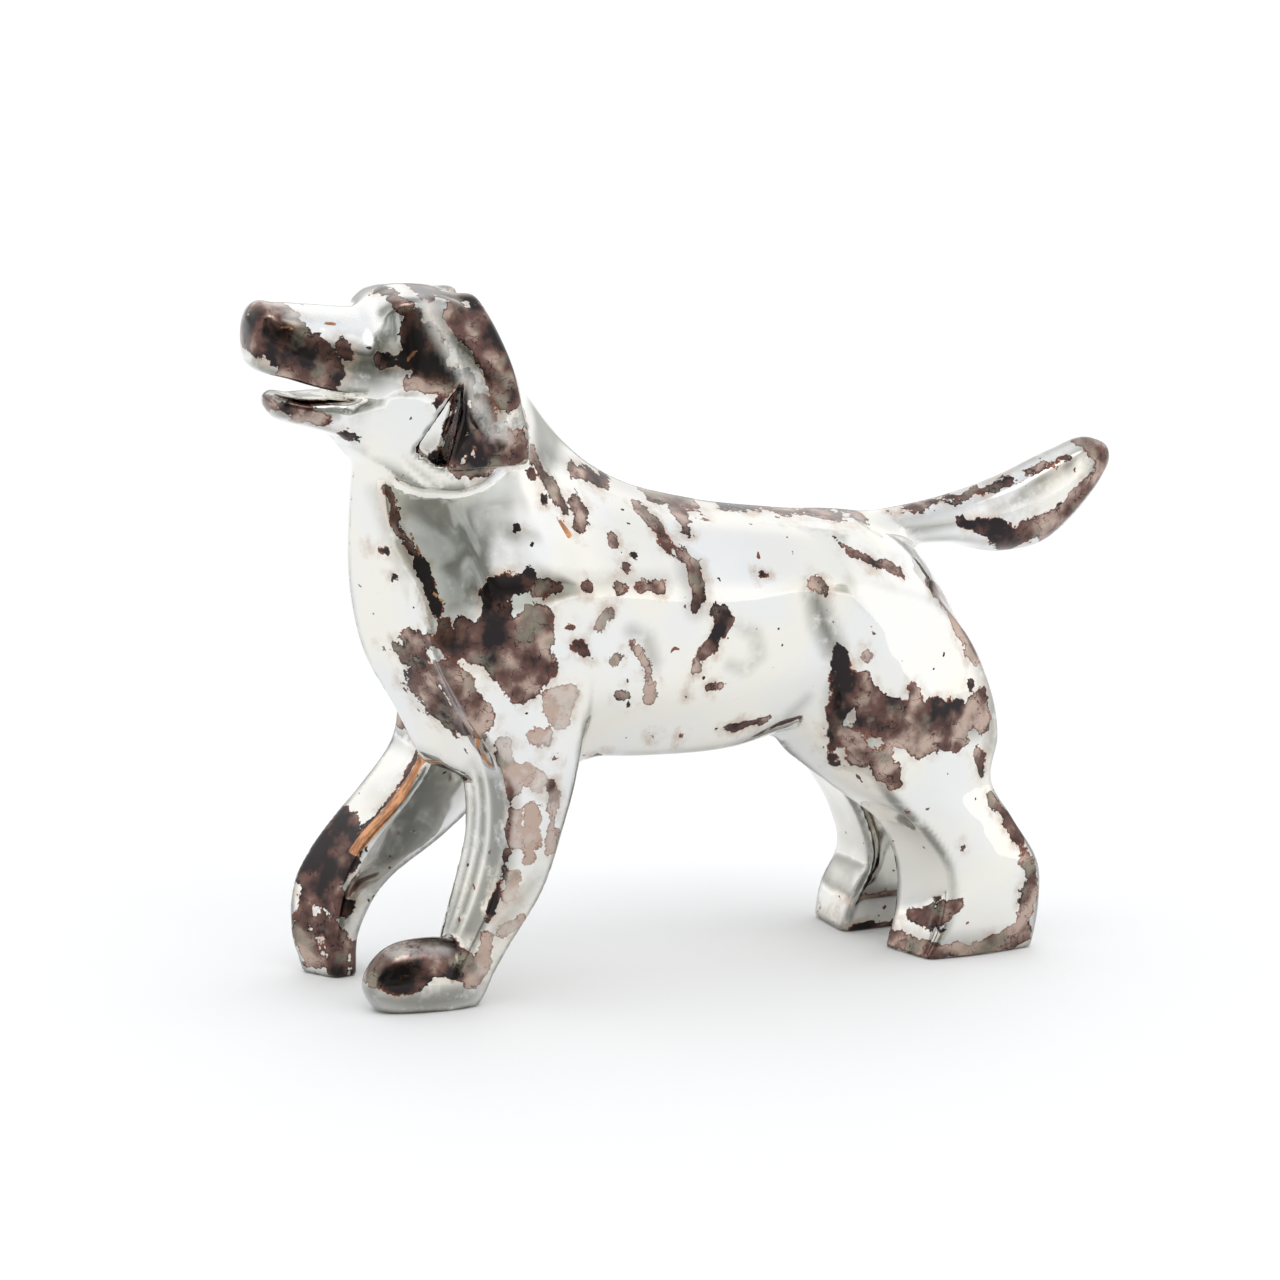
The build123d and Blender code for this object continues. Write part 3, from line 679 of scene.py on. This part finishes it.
FRONT_RIGHT_PATCHES = [
    (1.0, (-35.6, 17.2, 1.2), (-37.4, 15.2, 2), (-38.6, 12.4, 1.9)),
    (0.85, (-39.4, 10.2, 1.6), (-37.8, 8.4, 1.5)),
    (0.55, (-38.8, 6.4, 1.3), (-37.8, 3.8, 1.4)),
    (0.4, (-41, 4.8, 0.8), (-39.8, 1.8, 1)),
    (0.6, (-40.2, 8.6, 0.8), (-40.8, 6.4, 0.6)),
    (0.75, (-37.8, 1.6, 1.3)),
    (0.95, (-35.6, 3.4, 0.6), (-35.8, 0.8, 0.7)),
]
HIND_RIGHT_PATCHES = [
    (0.85, (22.8, 6.4, 0.1), (21.8, 3.4, 0.2), (21.2, 0.8, 0.3)),
    (0.75, (23.6, 0.2, 0.6), (29, 0, 0.5), (34, 0.2, 0.6)),
]
# Painted orange reflections laid as copper colour: one long stripe along a bevel on the right foreleg's near
# side, and small painted glints on the left side.
ORANGE_REFLECTION_BEVEL = [(-35.4, 15.6, 1.6), (-31.4, 20.8, 1.5), (-28.0, 25.4, 0.9)]
ORANGE_REFLECTION_BEVEL_X = -6.3  # the bevel's far side
BEVEL_SEAM = 0.3  # half the width of the dark line along that side, and its overrun at both ends
COPPER_GLINTS = [
    [(-16.4, 51.6, 0.4), (-17.4, 53.4, 0.2)],
    [(-31.9, 46.4, 0.2), (-30.9, 45.4, 0.2)],
    [(-33.6, 52.6, 0.2), (-32.6, 49.8, 0.2)],
    [(-46.4, 75, 0.2), (-45.4, 74.8, 0.2)],
    [(-41.8, 75.2, 0.2), (-40.6, 75, 0.2)],
    [(-33.8, 71.2, 0.2), (-32.8, 72.2, 0.2)],
]
# Grey haze, and in places a painted reflection of the darker room, without crisp edges: its strength and
# then a chain of blots.
LEFT_HAZE_AND_REFLECTION = [
    (0.85, (-49, 73.6, 1.4), (-48.6, 76.6, 0.9)),
    (0.95, (-31.4, 76.2, 1.4), (-28.4, 74, 2.2), (-25, 71, 2.6), (-23.6, 66, 2.6), (-24.6, 61.8, 2.4)),
    (1.0, (-40.2, 71.2, 2.3), (-37.4, 70.6, 2.3), (-35.4, 70.4, 1.4)),
    (0.8, (-35.8, 56.6, 0.3), (-34.9, 52.2, 0.5), (-33.8, 48.8, 0.5)),
    # Painted reflection: a grey stroke on the neck side for the darker room mirrored there.
    (0.34, (-31.8, 54.6, 1.8), (-29.6, 50.4, 2.4), (-25.6, 53, 2.4), (-24.6, 50, 1.2)),
    (0.6, (-44.6, 64.4, 0.5), (-47, 66, 0.8)),
    (0.55, (-29, 46.4, 2), (-30.4, 50, 0.8)),
    (0.5, (-21, 46.8, 1.2), (-14, 46.6, 0.5), (-6, 46, 0.5)),
    (0.55, (-2.6, 46.4, 1.6), (-2.4, 43.4, 1.2)),
    (0.7, (-10.4, 41.2, 0.3), (-8.6, 40, 0.5), (-7.8, 37.6, 0.5)),
    (0.6, (2.4, 40.6, 0.2), (4.6, 39.4, 0.3), (5.2, 37, 0.4), (3.6, 35.4, 0.2), (1.6, 36.2, 0.1)),
    (1.0, (11.6, 43.8, 0.9), (12.6, 40.4, 1.1), (14, 37.2, 0.9)),
    (0.8, (15.6, 32, 1.2), (16.6, 27, 1.6), (18.4, 24, 1.2)),
    (0.8, (18, 27, 1.3), (25, 26.6, 1), (32, 26.8, 1.4)),
    (0.7, (29.6, 41, 0.7), (33, 35, 0.8), (34.8, 29, 1.2), (34.2, 23.6, 0.8)),
    (0.55, (35.6, 17.6, 0.5), (39.4, 11, 0.5), (39.6, 3, 0.8)),
    (0.6, (24, 1.6, 1.2), (36, 1.2, 1.2)),
    (0.8, (-38.8, 2, 1), (-34, 1.6, 1.6), (-29, 2, 1.6)),
    (0.55, (-26, 8, 0.6), (-20.6, 14, 0.3)),
    (1.0, (-24.6, 26, 0.4), (-23.9, 22.4, 0.4), (-24.4, 16, 0.4), (-26.2, 10.4, 0.4)),
    (0.85, (51, 54.8, 1.5), (51.4, 52, 1.2)),
    (0.55, (-10, 25, -0.2), (2, 25.6, -0.2), (9, 28, 0.2), (12, 31, 0.2)),
    (0.6, (28, 48.2, 0.3), (33, 48.6, 0.4)),
    (0.75, (38, 49.4, 0.4), (42.6, 50.6, 0.6), (47.6, 53.6, 0.2)),
    (0.8, (-31.8, 61.4, 0.4), (-30.4, 62, 0.3)),
    (0.55, (-20.6, 61, 0.4), (-12, 57.4, 0.3), (-2, 53.6, 0.4), (10, 51.4, 0.15), (22, 49.8, 0.2)),
]
RIGHT_LEG_INNER_GREY = [
    (0.55, (-24, 23, 2.6), (-29.6, 17.6, 3), (-34, 11, 2.2)),
    (0.32, (20, 20, 3), (27, 12, 3), (27, 4, 2.6)),
]
# Painted highlights, soft white strokes that stand in for reflections along ridges and folds: strength, then
# a chain of blots.
PAINTED_HIGHLIGHTS = [
    (1.0, (-31.2, 76.8, 0.1), (-30.2, 74.2, 0.3), (-28.8, 71.2, 0.3), (-27.2, 68.4, 0.2)),
    (0.95, (-27.2, 68.4, 0.2), (-26.2, 65.6, 0.1), (-25, 63.2, 0), (-23.9, 62.8, 0), (-23.6, 64.4, 0.1)),
    (0.9, (-45.4, 76.2, 0), (-40.6, 75.6, 0.2), (-36.4, 74.8, 0.2)),
    (0.8, (-36.6, 6.6, -0.2), (-33.6, 7.2, 0), (-30.6, 6.6, -0.2)),
    (0.8, (43, 49.4, -0.2), (47.6, 51.8, 0.2)),
]
EDGE_CURVATURE = (0.22, 0.80)  # per millimetre: where the painted shade along sharp edges starts, and where it is full
EDGE_PAINTED_SHADE = 0.85
STROKE_SOFTNESS = 1.1  # how far the grey strokes and the painted highlight strokes fade beyond their blots, in millimetres
LEG_FRONT_PAINTED_REFLECTION = 0.90  # painted reflection: grey on the front and inner faces of the left foreleg
LEG_FRONT_HIGHLIGHT_STRIPES = (5.2, 6.6, 8.4)  # X of the lighter painted highlight stripes down that leg's front
LEG_TOP_Z = 26  # below this the legs are patched one by one
FORELEG_Y = -15  # the forelegs lie in front of this
PAW_TOP_Z = 6.5
OUTER_FACE = 0.50  # on a leg, patches stay on faces whose outward slope is over this
SIDE_WANDER = 3.0  # how far the unseen side's patches stray from the mirror image
BLEND_DEPTH = 0.4  # patches that overlap deeper than this share their darkness evenly
FAR = -3.0  # a reach well outside every patch


def blot_reach(y, z, chain):
    """How far inside a chain of blots each place lies, in millimetres; negative outside."""
    reach = np.full(len(y), FAR)
    for (y0, z0, radius0), (y1, z1, radius1) in zip(chain, chain[1:] or chain):
        length = max((y1 - y0) ** 2 + (z1 - z0) ** 2, 1e-6)
        part = np.clip(((y - y0) * (y1 - y0) + (z - z0) * (z1 - z0)) / length, 0, 1)
        apart = np.hypot(y - y0 - part * (y1 - y0), z - z0 - part * (z1 - z0))
        reach = np.maximum(reach, radius0 + part * (radius1 - radius0) - apart)
    return reach


def patch_field(y, z, patches):
    """The reach into the nearest patch, and its darkness."""
    reach = np.full(len(y), FAR)
    weight = np.full(len(y), 1e-9)
    darkness = np.zeros(len(y))
    for dark, *chain in patches:
        inside = blot_reach(y, z, chain)
        pull = np.exp(3 * np.minimum(inside, BLEND_DEPTH))
        weight += pull
        darkness += pull * dark
        reach = np.maximum(reach, inside)
    return reach, darkness / weight


def tarnish_at(points, slopes):
    """Reach into the tarnish, its darkness, and reach into the painted copper glints, at points on the skin.
    """
    x, y, z = points.T
    body = [*HEAD_PATCHES, *NECK_PATCHES, *SHOULDER_PATCHES, *BODY_PATCHES, *HAUNCH_PATCHES, *TAIL_PATCHES]
    reach, darkness = patch_field(y, z, body + FRONT_LEFT_PATCHES)
    on_leg = (z < LEG_TOP_Z + 4) & (y < FORELEG_Y)
    reach = np.where(on_leg, reach - np.maximum(OUTER_FACE - slopes[:, X], 0) * 4, reach)
    paw_reach, paw_darkness = patch_field(y, z, LEFT_PAW_PATCHES)
    darkness = np.where(paw_reach > reach, paw_darkness, darkness)
    reach = np.maximum(reach, paw_reach)
    stray = SIDE_WANDER * np.clip(-x / 5, 0, 1)
    far_y = y + stray * np.sin(0.20 * z + 1)
    far_z = z + stray * np.sin(0.17 * y)
    far_reach, far_darkness = patch_field(far_y, far_z, body)
    leg_reach, leg_darkness = patch_field(y, z, FRONT_RIGHT_PATCHES + HIND_RIGHT_PATCHES)
    own_leg = (z < LEG_TOP_Z) & ((y < 0) | (slopes[:, X] > -0.3))
    far_reach = np.where(own_leg, leg_reach, far_reach)
    far_darkness = np.where(own_leg, leg_darkness, far_darkness)
    far_side = x < 0
    bevel = np.minimum(blot_reach(y, z, ORANGE_REFLECTION_BEVEL), x - ORANGE_REFLECTION_BEVEL_X)
    painted_copper_glints = np.where(far_side & (slopes[:, Y] < -0.1), bevel, FAR)
    seam = BEVEL_SEAM - np.abs(x - ORANGE_REFLECTION_BEVEL_X + BEVEL_SEAM)
    seam = np.minimum(seam, blot_reach(y, z, ORANGE_REFLECTION_BEVEL) + BEVEL_SEAM)
    far_reach = np.maximum(far_reach, seam)
    for chain in COPPER_GLINTS:
        painted_copper_glints = np.where(far_side, painted_copper_glints, np.maximum(painted_copper_glints, blot_reach(y, z, chain)))
    return np.where(far_side, far_reach, reach), np.where(far_side, far_darkness, darkness), painted_copper_glints


def edge_sharpness(points, reach=0.3):
    """0 on flat stretches of the skin and 1 on sharp outer edges, from the field's curvature."""
    around = sum(figurine(points + sign * reach * np.eye(3)[axis]) for axis in range(3) for sign in (-1, 1))
    curvature = (around - 6 * figurine(points)) / reach ** 2
    start, full = EDGE_CURVATURE
    return np.clip((curvature - start) / (full - start), 0, 1)


def soft_strokes(y, z, strokes):
    """The strongest of several soft-edged strokes at each place."""
    strongest = np.zeros(len(y))
    for strength, *chain in strokes:
        fade = np.clip(blot_reach(y, z, chain) / (2 * STROKE_SOFTNESS) + 0.5, 0, 1)
        strongest = np.maximum(strongest, strength * fade)
    return strongest


def haze_and_reflection_at(points, slopes):
    """Strength of the grey at points on the skin: haze, with painted reflections and painted shade in
    places.
    """
    x, y, z = points.T
    left = soft_strokes(y, z, LEFT_HAZE_AND_REFLECTION)
    # Painted reflection on the left foreleg: faces turned away from +X are greyed, less along lighter
    # painted highlight stripes.
    inner = np.clip((OUTER_FACE - slopes[:, X]) * 5, 0, 1) * np.clip((LEG_TOP_Z + 2 - z) / 3, 0, 1)
    inner *= np.clip((z - PAW_TOP_Z) / 2, 0, 1) * (y < FORELEG_Y)
    stripes = sum(np.exp(-((x - stripe) / 0.45) ** 2) for stripe in LEG_FRONT_HIGHLIGHT_STRIPES)
    left = np.maximum(left, LEG_FRONT_PAINTED_REFLECTION * inner * (1 - 0.8 * np.clip(stripes, 0, 1)))
    # Grey on the right legs, laid only on faces turned towards +X.
    inner_right = soft_strokes(y, z, RIGHT_LEG_INNER_GREY) * np.clip(slopes[:, X] * 3 + 0.6, 0, 1)
    right = np.where(z < LEG_TOP_Z, inner_right, left)
    # Painted shade lines along the sharp outer edges.
    return np.maximum(np.where(x < 0, right, left), EDGE_PAINTED_SHADE * edge_sharpness(points))


def lay_tarnish(piece):
    """Write the tarnish, the grey, the painted highlights and the painted copper glints on a piece's points,
    for the material.
    """
    places = to_sculpt(vertex_places(piece.data))
    slopes = gradient(figurine, places)
    painted_highlight = soft_strokes(places[:, Y], places[:, Z], PAINTED_HIGHLIGHTS)
    fields = (*tarnish_at(places, slopes), haze_and_reflection_at(places, slopes), painted_highlight)
    for name, values in zip(("tarnish", "darkness", "painted_copper_glints", "haze_and_painted_reflection", "painted_highlight"), fields):
        layer = piece.data.attributes.new(name, "FLOAT", "POINT")
        layer.data.foreach_set("value", values.astype(np.float32))


for piece in skins:
    lay_tarnish(piece)


# ---- materials
class Nodes:
    """The nodes of a material or a world, with short calls for what the looks are made of."""

    def __init__(self, owner, coordinates):
        owner.use_nodes = True
        self.tree = owner.node_tree
        self.place = self.new("TexCoord").outputs[coordinates]

    def new(self, kind):
        return self.tree.nodes.new("ShaderNode" + kind)

    def feed(self, socket, value):
        if isinstance(value, bpy.types.NodeSocket):
            self.tree.links.new(value, socket)
        else:
            socket.default_value = value

    def shade(self, **values):
        """Set or link the shader's sockets; an underscore stands for a space in a socket's name."""
        for name, value in values.items():
            self.feed(self.tree.nodes["Principled BSDF"].inputs[name.replace("_", " ")], value)

    def attribute(self, name):
        node = self.new("Attribute")
        node.attribute_name = name
        return node.outputs["Fac"]

    def noise(self, per_metre, detail=4.0, roughness=0.6, stretch=(1, 1, 1)):
        """Noise between about 0.2 and 0.8, with its largest features 1 / per_metre across."""
        mapping = self.new("Mapping")
        self.feed(mapping.inputs["Vector"], self.place)
        mapping.inputs["Scale"].default_value = stretch
        node = self.new("TexNoise")
        self.feed(node.inputs["Vector"], mapping.outputs[0])
        node.inputs["Scale"].default_value = per_metre
        node.inputs["Detail"].default_value = detail
        node.inputs["Roughness"].default_value = roughness
        return node.outputs["Fac"]

    def math(self, operation, first, second=0.0, third=0.0):
        node = self.new("Math")
        node.operation = operation
        for socket, value in zip(node.inputs, (first, second, third)):
            self.feed(socket, value)
        return node.outputs[0]

    def ramp(self, value, start, end):
        """0 below start and 1 above end, smooth between; start may be the larger one."""
        node = self.new("MapRange")
        node.interpolation_type = "SMOOTHSTEP"
        rising = start < end
        self.feed(node.inputs["Value"], value)
        node.inputs["From Min"].default_value = min(start, end)
        node.inputs["From Max"].default_value = max(start, end)
        node.inputs["To Min"].default_value = 0.0 if rising else 1.0
        node.inputs["To Max"].default_value = 1.0 if rising else 0.0
        return node.outputs[0]

    def mix(self, part, first, second):
        """A colour between two."""
        node = self.new("Mix")
        node.data_type = "RGBA"
        self.feed(node.inputs["Factor"], part)
        self.feed(node.inputs[6], first)
        self.feed(node.inputs[7], second)
        return node.outputs[2]

    def mix_value(self, part, first, second):
        node = self.new("Mix")
        self.feed(node.inputs["Factor"], part)
        self.feed(node.inputs[2], first)
        self.feed(node.inputs[3], second)
        return node.outputs[0]

    def bump(self, height, distance, normal=None):
        node = self.new("Bump")
        node.inputs["Distance"].default_value = distance
        self.feed(node.inputs["Height"], height)
        if normal is not None:
            self.feed(node.inputs["Normal"], normal)
        return node.outputs[0]


SILVER = (0.79, 0.79, 0.78, 1)
# Colour of the painted highlights.
HIGHLIGHT_WHITE = (0.95, 0.93, 0.89, 1)
SILVER_CREAM = (0.825, 0.80, 0.735, 1)
# Grey of the haze and of the painted reflections and painted shade.
HAZE_AND_REFLECTION_GREY = (0.18, 0.18, 0.16, 1)
HALO_TAN = (0.56, 0.46, 0.38, 1)
TARNISH_PINK = (0.49, 0.365, 0.305, 1)
TARNISH_BROWN = (0.115, 0.055, 0.044, 1)
TARNISH_BLACK = (0.012, 0.007, 0.008, 1)
TARNISH_OLIVE = (0.22, 0.21, 0.16, 1)
TARNISH_RUST = (0.26, 0.085, 0.045, 1)
# Colours of the painted copper glints.
GLINT_COPPER = (0.62, 0.30, 0.14, 1)
GLINT_COPPER_DARK = (0.30, 0.13, 0.06, 1)
BRASS = (0.72, 0.50, 0.20, 1)
BRASS_DULL = (0.60, 0.40, 0.16, 1)
TABLE_WHITE = (0.985, 0.985, 0.985, 1)
SILVER_ROUGHNESS = 0.05
FILM_ROUGHNESS = 0.12
PATCH_ROUGHNESS = 0.15
HIGHLIGHT_ROUGHNESS = 0.42
HIGHLIGHT_METALLIC = 0.2  # painted highlight strokes are partly diffuse, so they show white
RIPPLE_DEPTH = 0.0005  # metres, of the casting's slow unevenness
PATCH_DEPTH = 0.00001  # metres, that tarnish stands proud


def silver_material():
    """Mirror silver under clear lacquer, with crisp-edged tarnish, soft grey haze with painted reflections,
    painted highlights and painted copper glints where the points say.
    """
    silver = bpy.data.materials.new("tarnished_silver")
    nodes = Nodes(silver, "Object")
    # A patch's edge is where its reach, in millimetres, passes zero after the noise.
    wide = nodes.math("SUBTRACT", nodes.noise(420, 3.0), 0.5)
    fine = nodes.math("SUBTRACT", nodes.noise(1700, 5.0, 0.7), 0.5)
    ragged = nodes.math("MULTIPLY_ADD", wide, 2.7, nodes.attribute("tarnish"))
    ragged = nodes.math("MULTIPLY_ADD", fine, 1.2, ragged)
    ragged = nodes.math("ADD", ragged, 0.12)
    specks = nodes.ramp(nodes.noise(640, 2.0, 0.5), 0.725, 0.735)
    patch = nodes.math("MAXIMUM", nodes.ramp(ragged, -0.03, 0.03), specks)
    rim = nodes.math("MULTIPLY", nodes.ramp(ragged, 0.28, 0.02), patch)
    # Stain: pink where it is thin, then brown and black, with dark rims and contour lines.
    cloud = nodes.math("SUBTRACT", nodes.noise(300, 4.0, 0.5), 0.5)
    depth = nodes.math("MULTIPLY_ADD", cloud, 2.1, nodes.attribute("darkness"))
    depth = nodes.math("MULTIPLY_ADD", rim, 0.38, depth)
    contour = nodes.math("ABSOLUTE", nodes.math("SUBTRACT", nodes.noise(480, 3.0, 0.5), 0.5))
    depth = nodes.math("MULTIPLY_ADD", nodes.ramp(contour, 0.010, 0.002), 0.35, depth)
    stain = nodes.mix(nodes.ramp(depth, 0.18, 0.66), TARNISH_PINK, TARNISH_BROWN)
    olive_at = nodes.math("MULTIPLY", nodes.ramp(nodes.noise(230, 2.0), 0.53, 0.66), 0.7)
    stain = nodes.mix(olive_at, stain, TARNISH_OLIVE)
    stain = nodes.mix(nodes.ramp(depth, 0.62, 0.98), stain, TARNISH_BLACK)
    rust_at = nodes.math("MULTIPLY", rim, nodes.ramp(nodes.noise(330, 3.0), 0.46, 0.60))
    stain = nodes.mix(nodes.math("MULTIPLY", rust_at, 0.75), stain, TARNISH_RUST)
    # Metal between the patches: two warm greys, the grey haze with its painted reflections and painted
    # shade, and a tan halo.
    metal = nodes.mix(nodes.ramp(nodes.noise(70, 2.0), 0.42, 0.62), SILVER, SILVER_CREAM)
    streaks = nodes.noise(380, 5.0, 0.65)
    haze_and_painted_reflection = nodes.math("MULTIPLY", nodes.attribute("haze_and_painted_reflection"), nodes.ramp(streaks, 0.22, 0.52))
    metal = nodes.mix(haze_and_painted_reflection, metal, HAZE_AND_REFLECTION_GREY)
    halo = nodes.ramp(nodes.noise(300, 4.0), 0.42, 0.68)
    halo = nodes.math("MULTIPLY", halo, nodes.ramp(ragged, -1.3, -0.1))
    metal = nodes.mix(nodes.math("MULTIPLY", halo, 0.85), metal, HALO_TAN)
    thin = nodes.ramp(nodes.attribute("darkness"), 0.40, 0.12)
    thin = nodes.math("MULTIPLY", thin, nodes.ramp(cloud, -0.10, 0.08))
    stain = nodes.mix(nodes.math("MULTIPLY", thin, 0.75), stain, metal)
    colour = nodes.mix(patch, metal, stain)
    # Painted highlights: white strokes, partly diffuse, that stand in for reflections.
    painted_highlight_mask = nodes.ramp(nodes.noise(700, 5.0, 0.7), 0.28, 0.50)
    painted_highlight_mask = nodes.math("MULTIPLY", painted_highlight_mask, nodes.attribute("painted_highlight"))
    colour = nodes.mix(painted_highlight_mask, colour, HIGHLIGHT_WHITE)
    grain = nodes.noise(1500, 4.0, 0.7, (1.0, 0.25, 0.25))
    # Painted copper glints: copper colour that stands in for orange reflections.
    glint_mask = nodes.ramp(nodes.attribute("painted_copper_glints"), -0.02, 0.08)
    colour = nodes.mix(glint_mask, colour, nodes.mix(nodes.ramp(grain, 0.40, 0.60), GLINT_COPPER, GLINT_COPPER_DARK))
    nodes.shade(Base_Color=colour, Metallic=nodes.mix_value(painted_highlight_mask, 1.0, HIGHLIGHT_METALLIC))
    dulled = nodes.mix_value(haze_and_painted_reflection, SILVER_ROUGHNESS, FILM_ROUGHNESS)
    dulled = nodes.mix_value(patch, dulled, PATCH_ROUGHNESS)
    nodes.shade(Roughness=nodes.mix_value(painted_highlight_mask, dulled, HIGHLIGHT_ROUGHNESS))
    nodes.shade(Coat_Weight=0.5, Coat_Roughness=0.03)
    ripple = nodes.bump(nodes.noise(95, 2.0, 0.4), RIPPLE_DEPTH)
    nodes.shade(Normal=nodes.bump(patch, PATCH_DEPTH, ripple), Coat_Normal=ripple)
    return silver


def brass_material():
    """Plain turned brass of the hidden dowels."""
    brass = bpy.data.materials.new("dowel_brass")
    nodes = Nodes(brass, "Object")
    worn = nodes.ramp(nodes.noise(900, 4.0), 0.35, 0.65)
    nodes.shade(Base_Color=nodes.mix(worn, BRASS, BRASS_DULL), Metallic=1.0)
    nodes.shade(Roughness=nodes.mix_value(worn, 0.25, 0.42))
    return brass


silver = silver_material()
for piece in skins:
    piece.data.materials.append(silver)

brass = brass_material()
for piece in bpy.data.objects:
    if piece.type == "MESH" and "locating_dowels" in piece.name:
        for number in range(len(piece.material_slots)):
            piece.material_slots[number].material = brass


# ---- camera, stage and light
def view_direction(view):
    """Unit vector from the figurine towards (azimuth, elevation), in degrees; azimuth 0 is in front."""
    turn, lift = np.radians(view)
    return Vector((math.sin(turn) * math.cos(lift), -math.cos(turn) * math.cos(lift), math.sin(lift)))


CAMERA_VIEW = (68, 12)  # azimuth and elevation, in degrees
CAMERA_TARGET = (0, -0.0059, 0.037)
CAMERA_DISTANCE = 0.560
CAMERA_LENS = 141.75  # millimetres, on the default sensor of 36


def add_camera():
    back = view_direction(CAMERA_VIEW)
    camera = bpy.data.objects.new("camera", bpy.data.cameras.new("camera"))
    bpy.context.scene.collection.objects.link(camera)
    camera.data.lens = CAMERA_LENS
    camera.data.clip_start = 0.01
    camera.location = Vector(CAMERA_TARGET) + back * CAMERA_DISTANCE
    camera.rotation_euler = (-back).to_track_quat("-Z", "Y").to_euler()
    bpy.context.scene.camera = camera


def add_floor():
    bpy.ops.mesh.primitive_plane_add(size=8, location=(0, 0, 0))
    floor = bpy.context.object
    floor.name = "table"
    white = bpy.data.materials.new("white_table")
    Nodes(white, "Object").shade(Base_Color=TABLE_WHITE, Roughness=0.7)
    floor.data.materials.append(white)


SKY_STRENGTH = 1.25
SKY_HORIZON = (1.0, 0.998, 0.99, 1)
SKY_TOP = (0.80, 0.825, 0.86, 1)
FAR_WALL = (248, 8)  # azimuth and elevation of the wall behind the figurine
SKY_LOW = (0.46, 0.47, 0.46, 1)  # its shaded foot
NEAR_ROOM = (66, 12)  # behind the camera
ROOM_DARK = (0.20, 0.20, 0.18, 1)  # the unlit room there
ROOM_LIGHT = (0.50, 0.52, 0.49, 1)  # paler things in it
STRIP_PLACE = (82, 54)  # high on the near side
STRIP_LIGHT = (2.4, 2.4, 2.35, 1)  # a soft strip light, which draws the highlights


def add_world():
    """White walls, a slightly bluish ceiling, and the darker room that the figurine's near side mirrors."""
    world = bpy.data.worlds.new("studio")
    bpy.context.scene.world = world
    nodes = Nodes(world, "Generated")

    def facing(direction, start, end):
        """0 to 1 as the view turns towards a direction, between two cosines."""
        along = nodes.new("VectorMath")
        along.operation = "DOT_PRODUCT"
        along.inputs[1].default_value = direction
        nodes.feed(along.inputs[0], nodes.place)
        return nodes.ramp(along.outputs["Value"], start, end)

    up = (0, 0, 1)
    clutter = nodes.ramp(nodes.noise(3.5, 3.0, 0.5), 0.40, 0.64)
    room = nodes.mix(clutter, ROOM_DARK, ROOM_LIGHT)
    sky = nodes.mix(facing(up, 0.40, 0.95), SKY_HORIZON, SKY_TOP)
    shaded = nodes.mix(facing(up, 0.12, 0.36), SKY_LOW, sky)
    sky = nodes.mix(facing(view_direction(FAR_WALL), 0.15, 0.55), sky, shaded)
    sky = nodes.mix(facing(view_direction(NEAR_ROOM), 0.71, 0.85), sky, room)
    sky = nodes.mix(facing(up, -0.02, 0.12), SKY_HORIZON, sky)
    strip = nodes.mix(facing(up, 0.72, 0.84), sky, STRIP_LIGHT)
    strip = nodes.mix(facing(up, 0.84, 0.95), strip, sky)
    sky = nodes.mix(facing(view_direction(STRIP_PLACE), 0.93, 0.985), sky, strip)
    background = world.node_tree.nodes["Background"]
    nodes.feed(background.inputs["Color"], sky)
    nodes.feed(background.inputs["Strength"], SKY_STRENGTH)


add_camera()
add_floor()
add_world()
bpy.context.scene.view_settings.view_transform = "Standard"
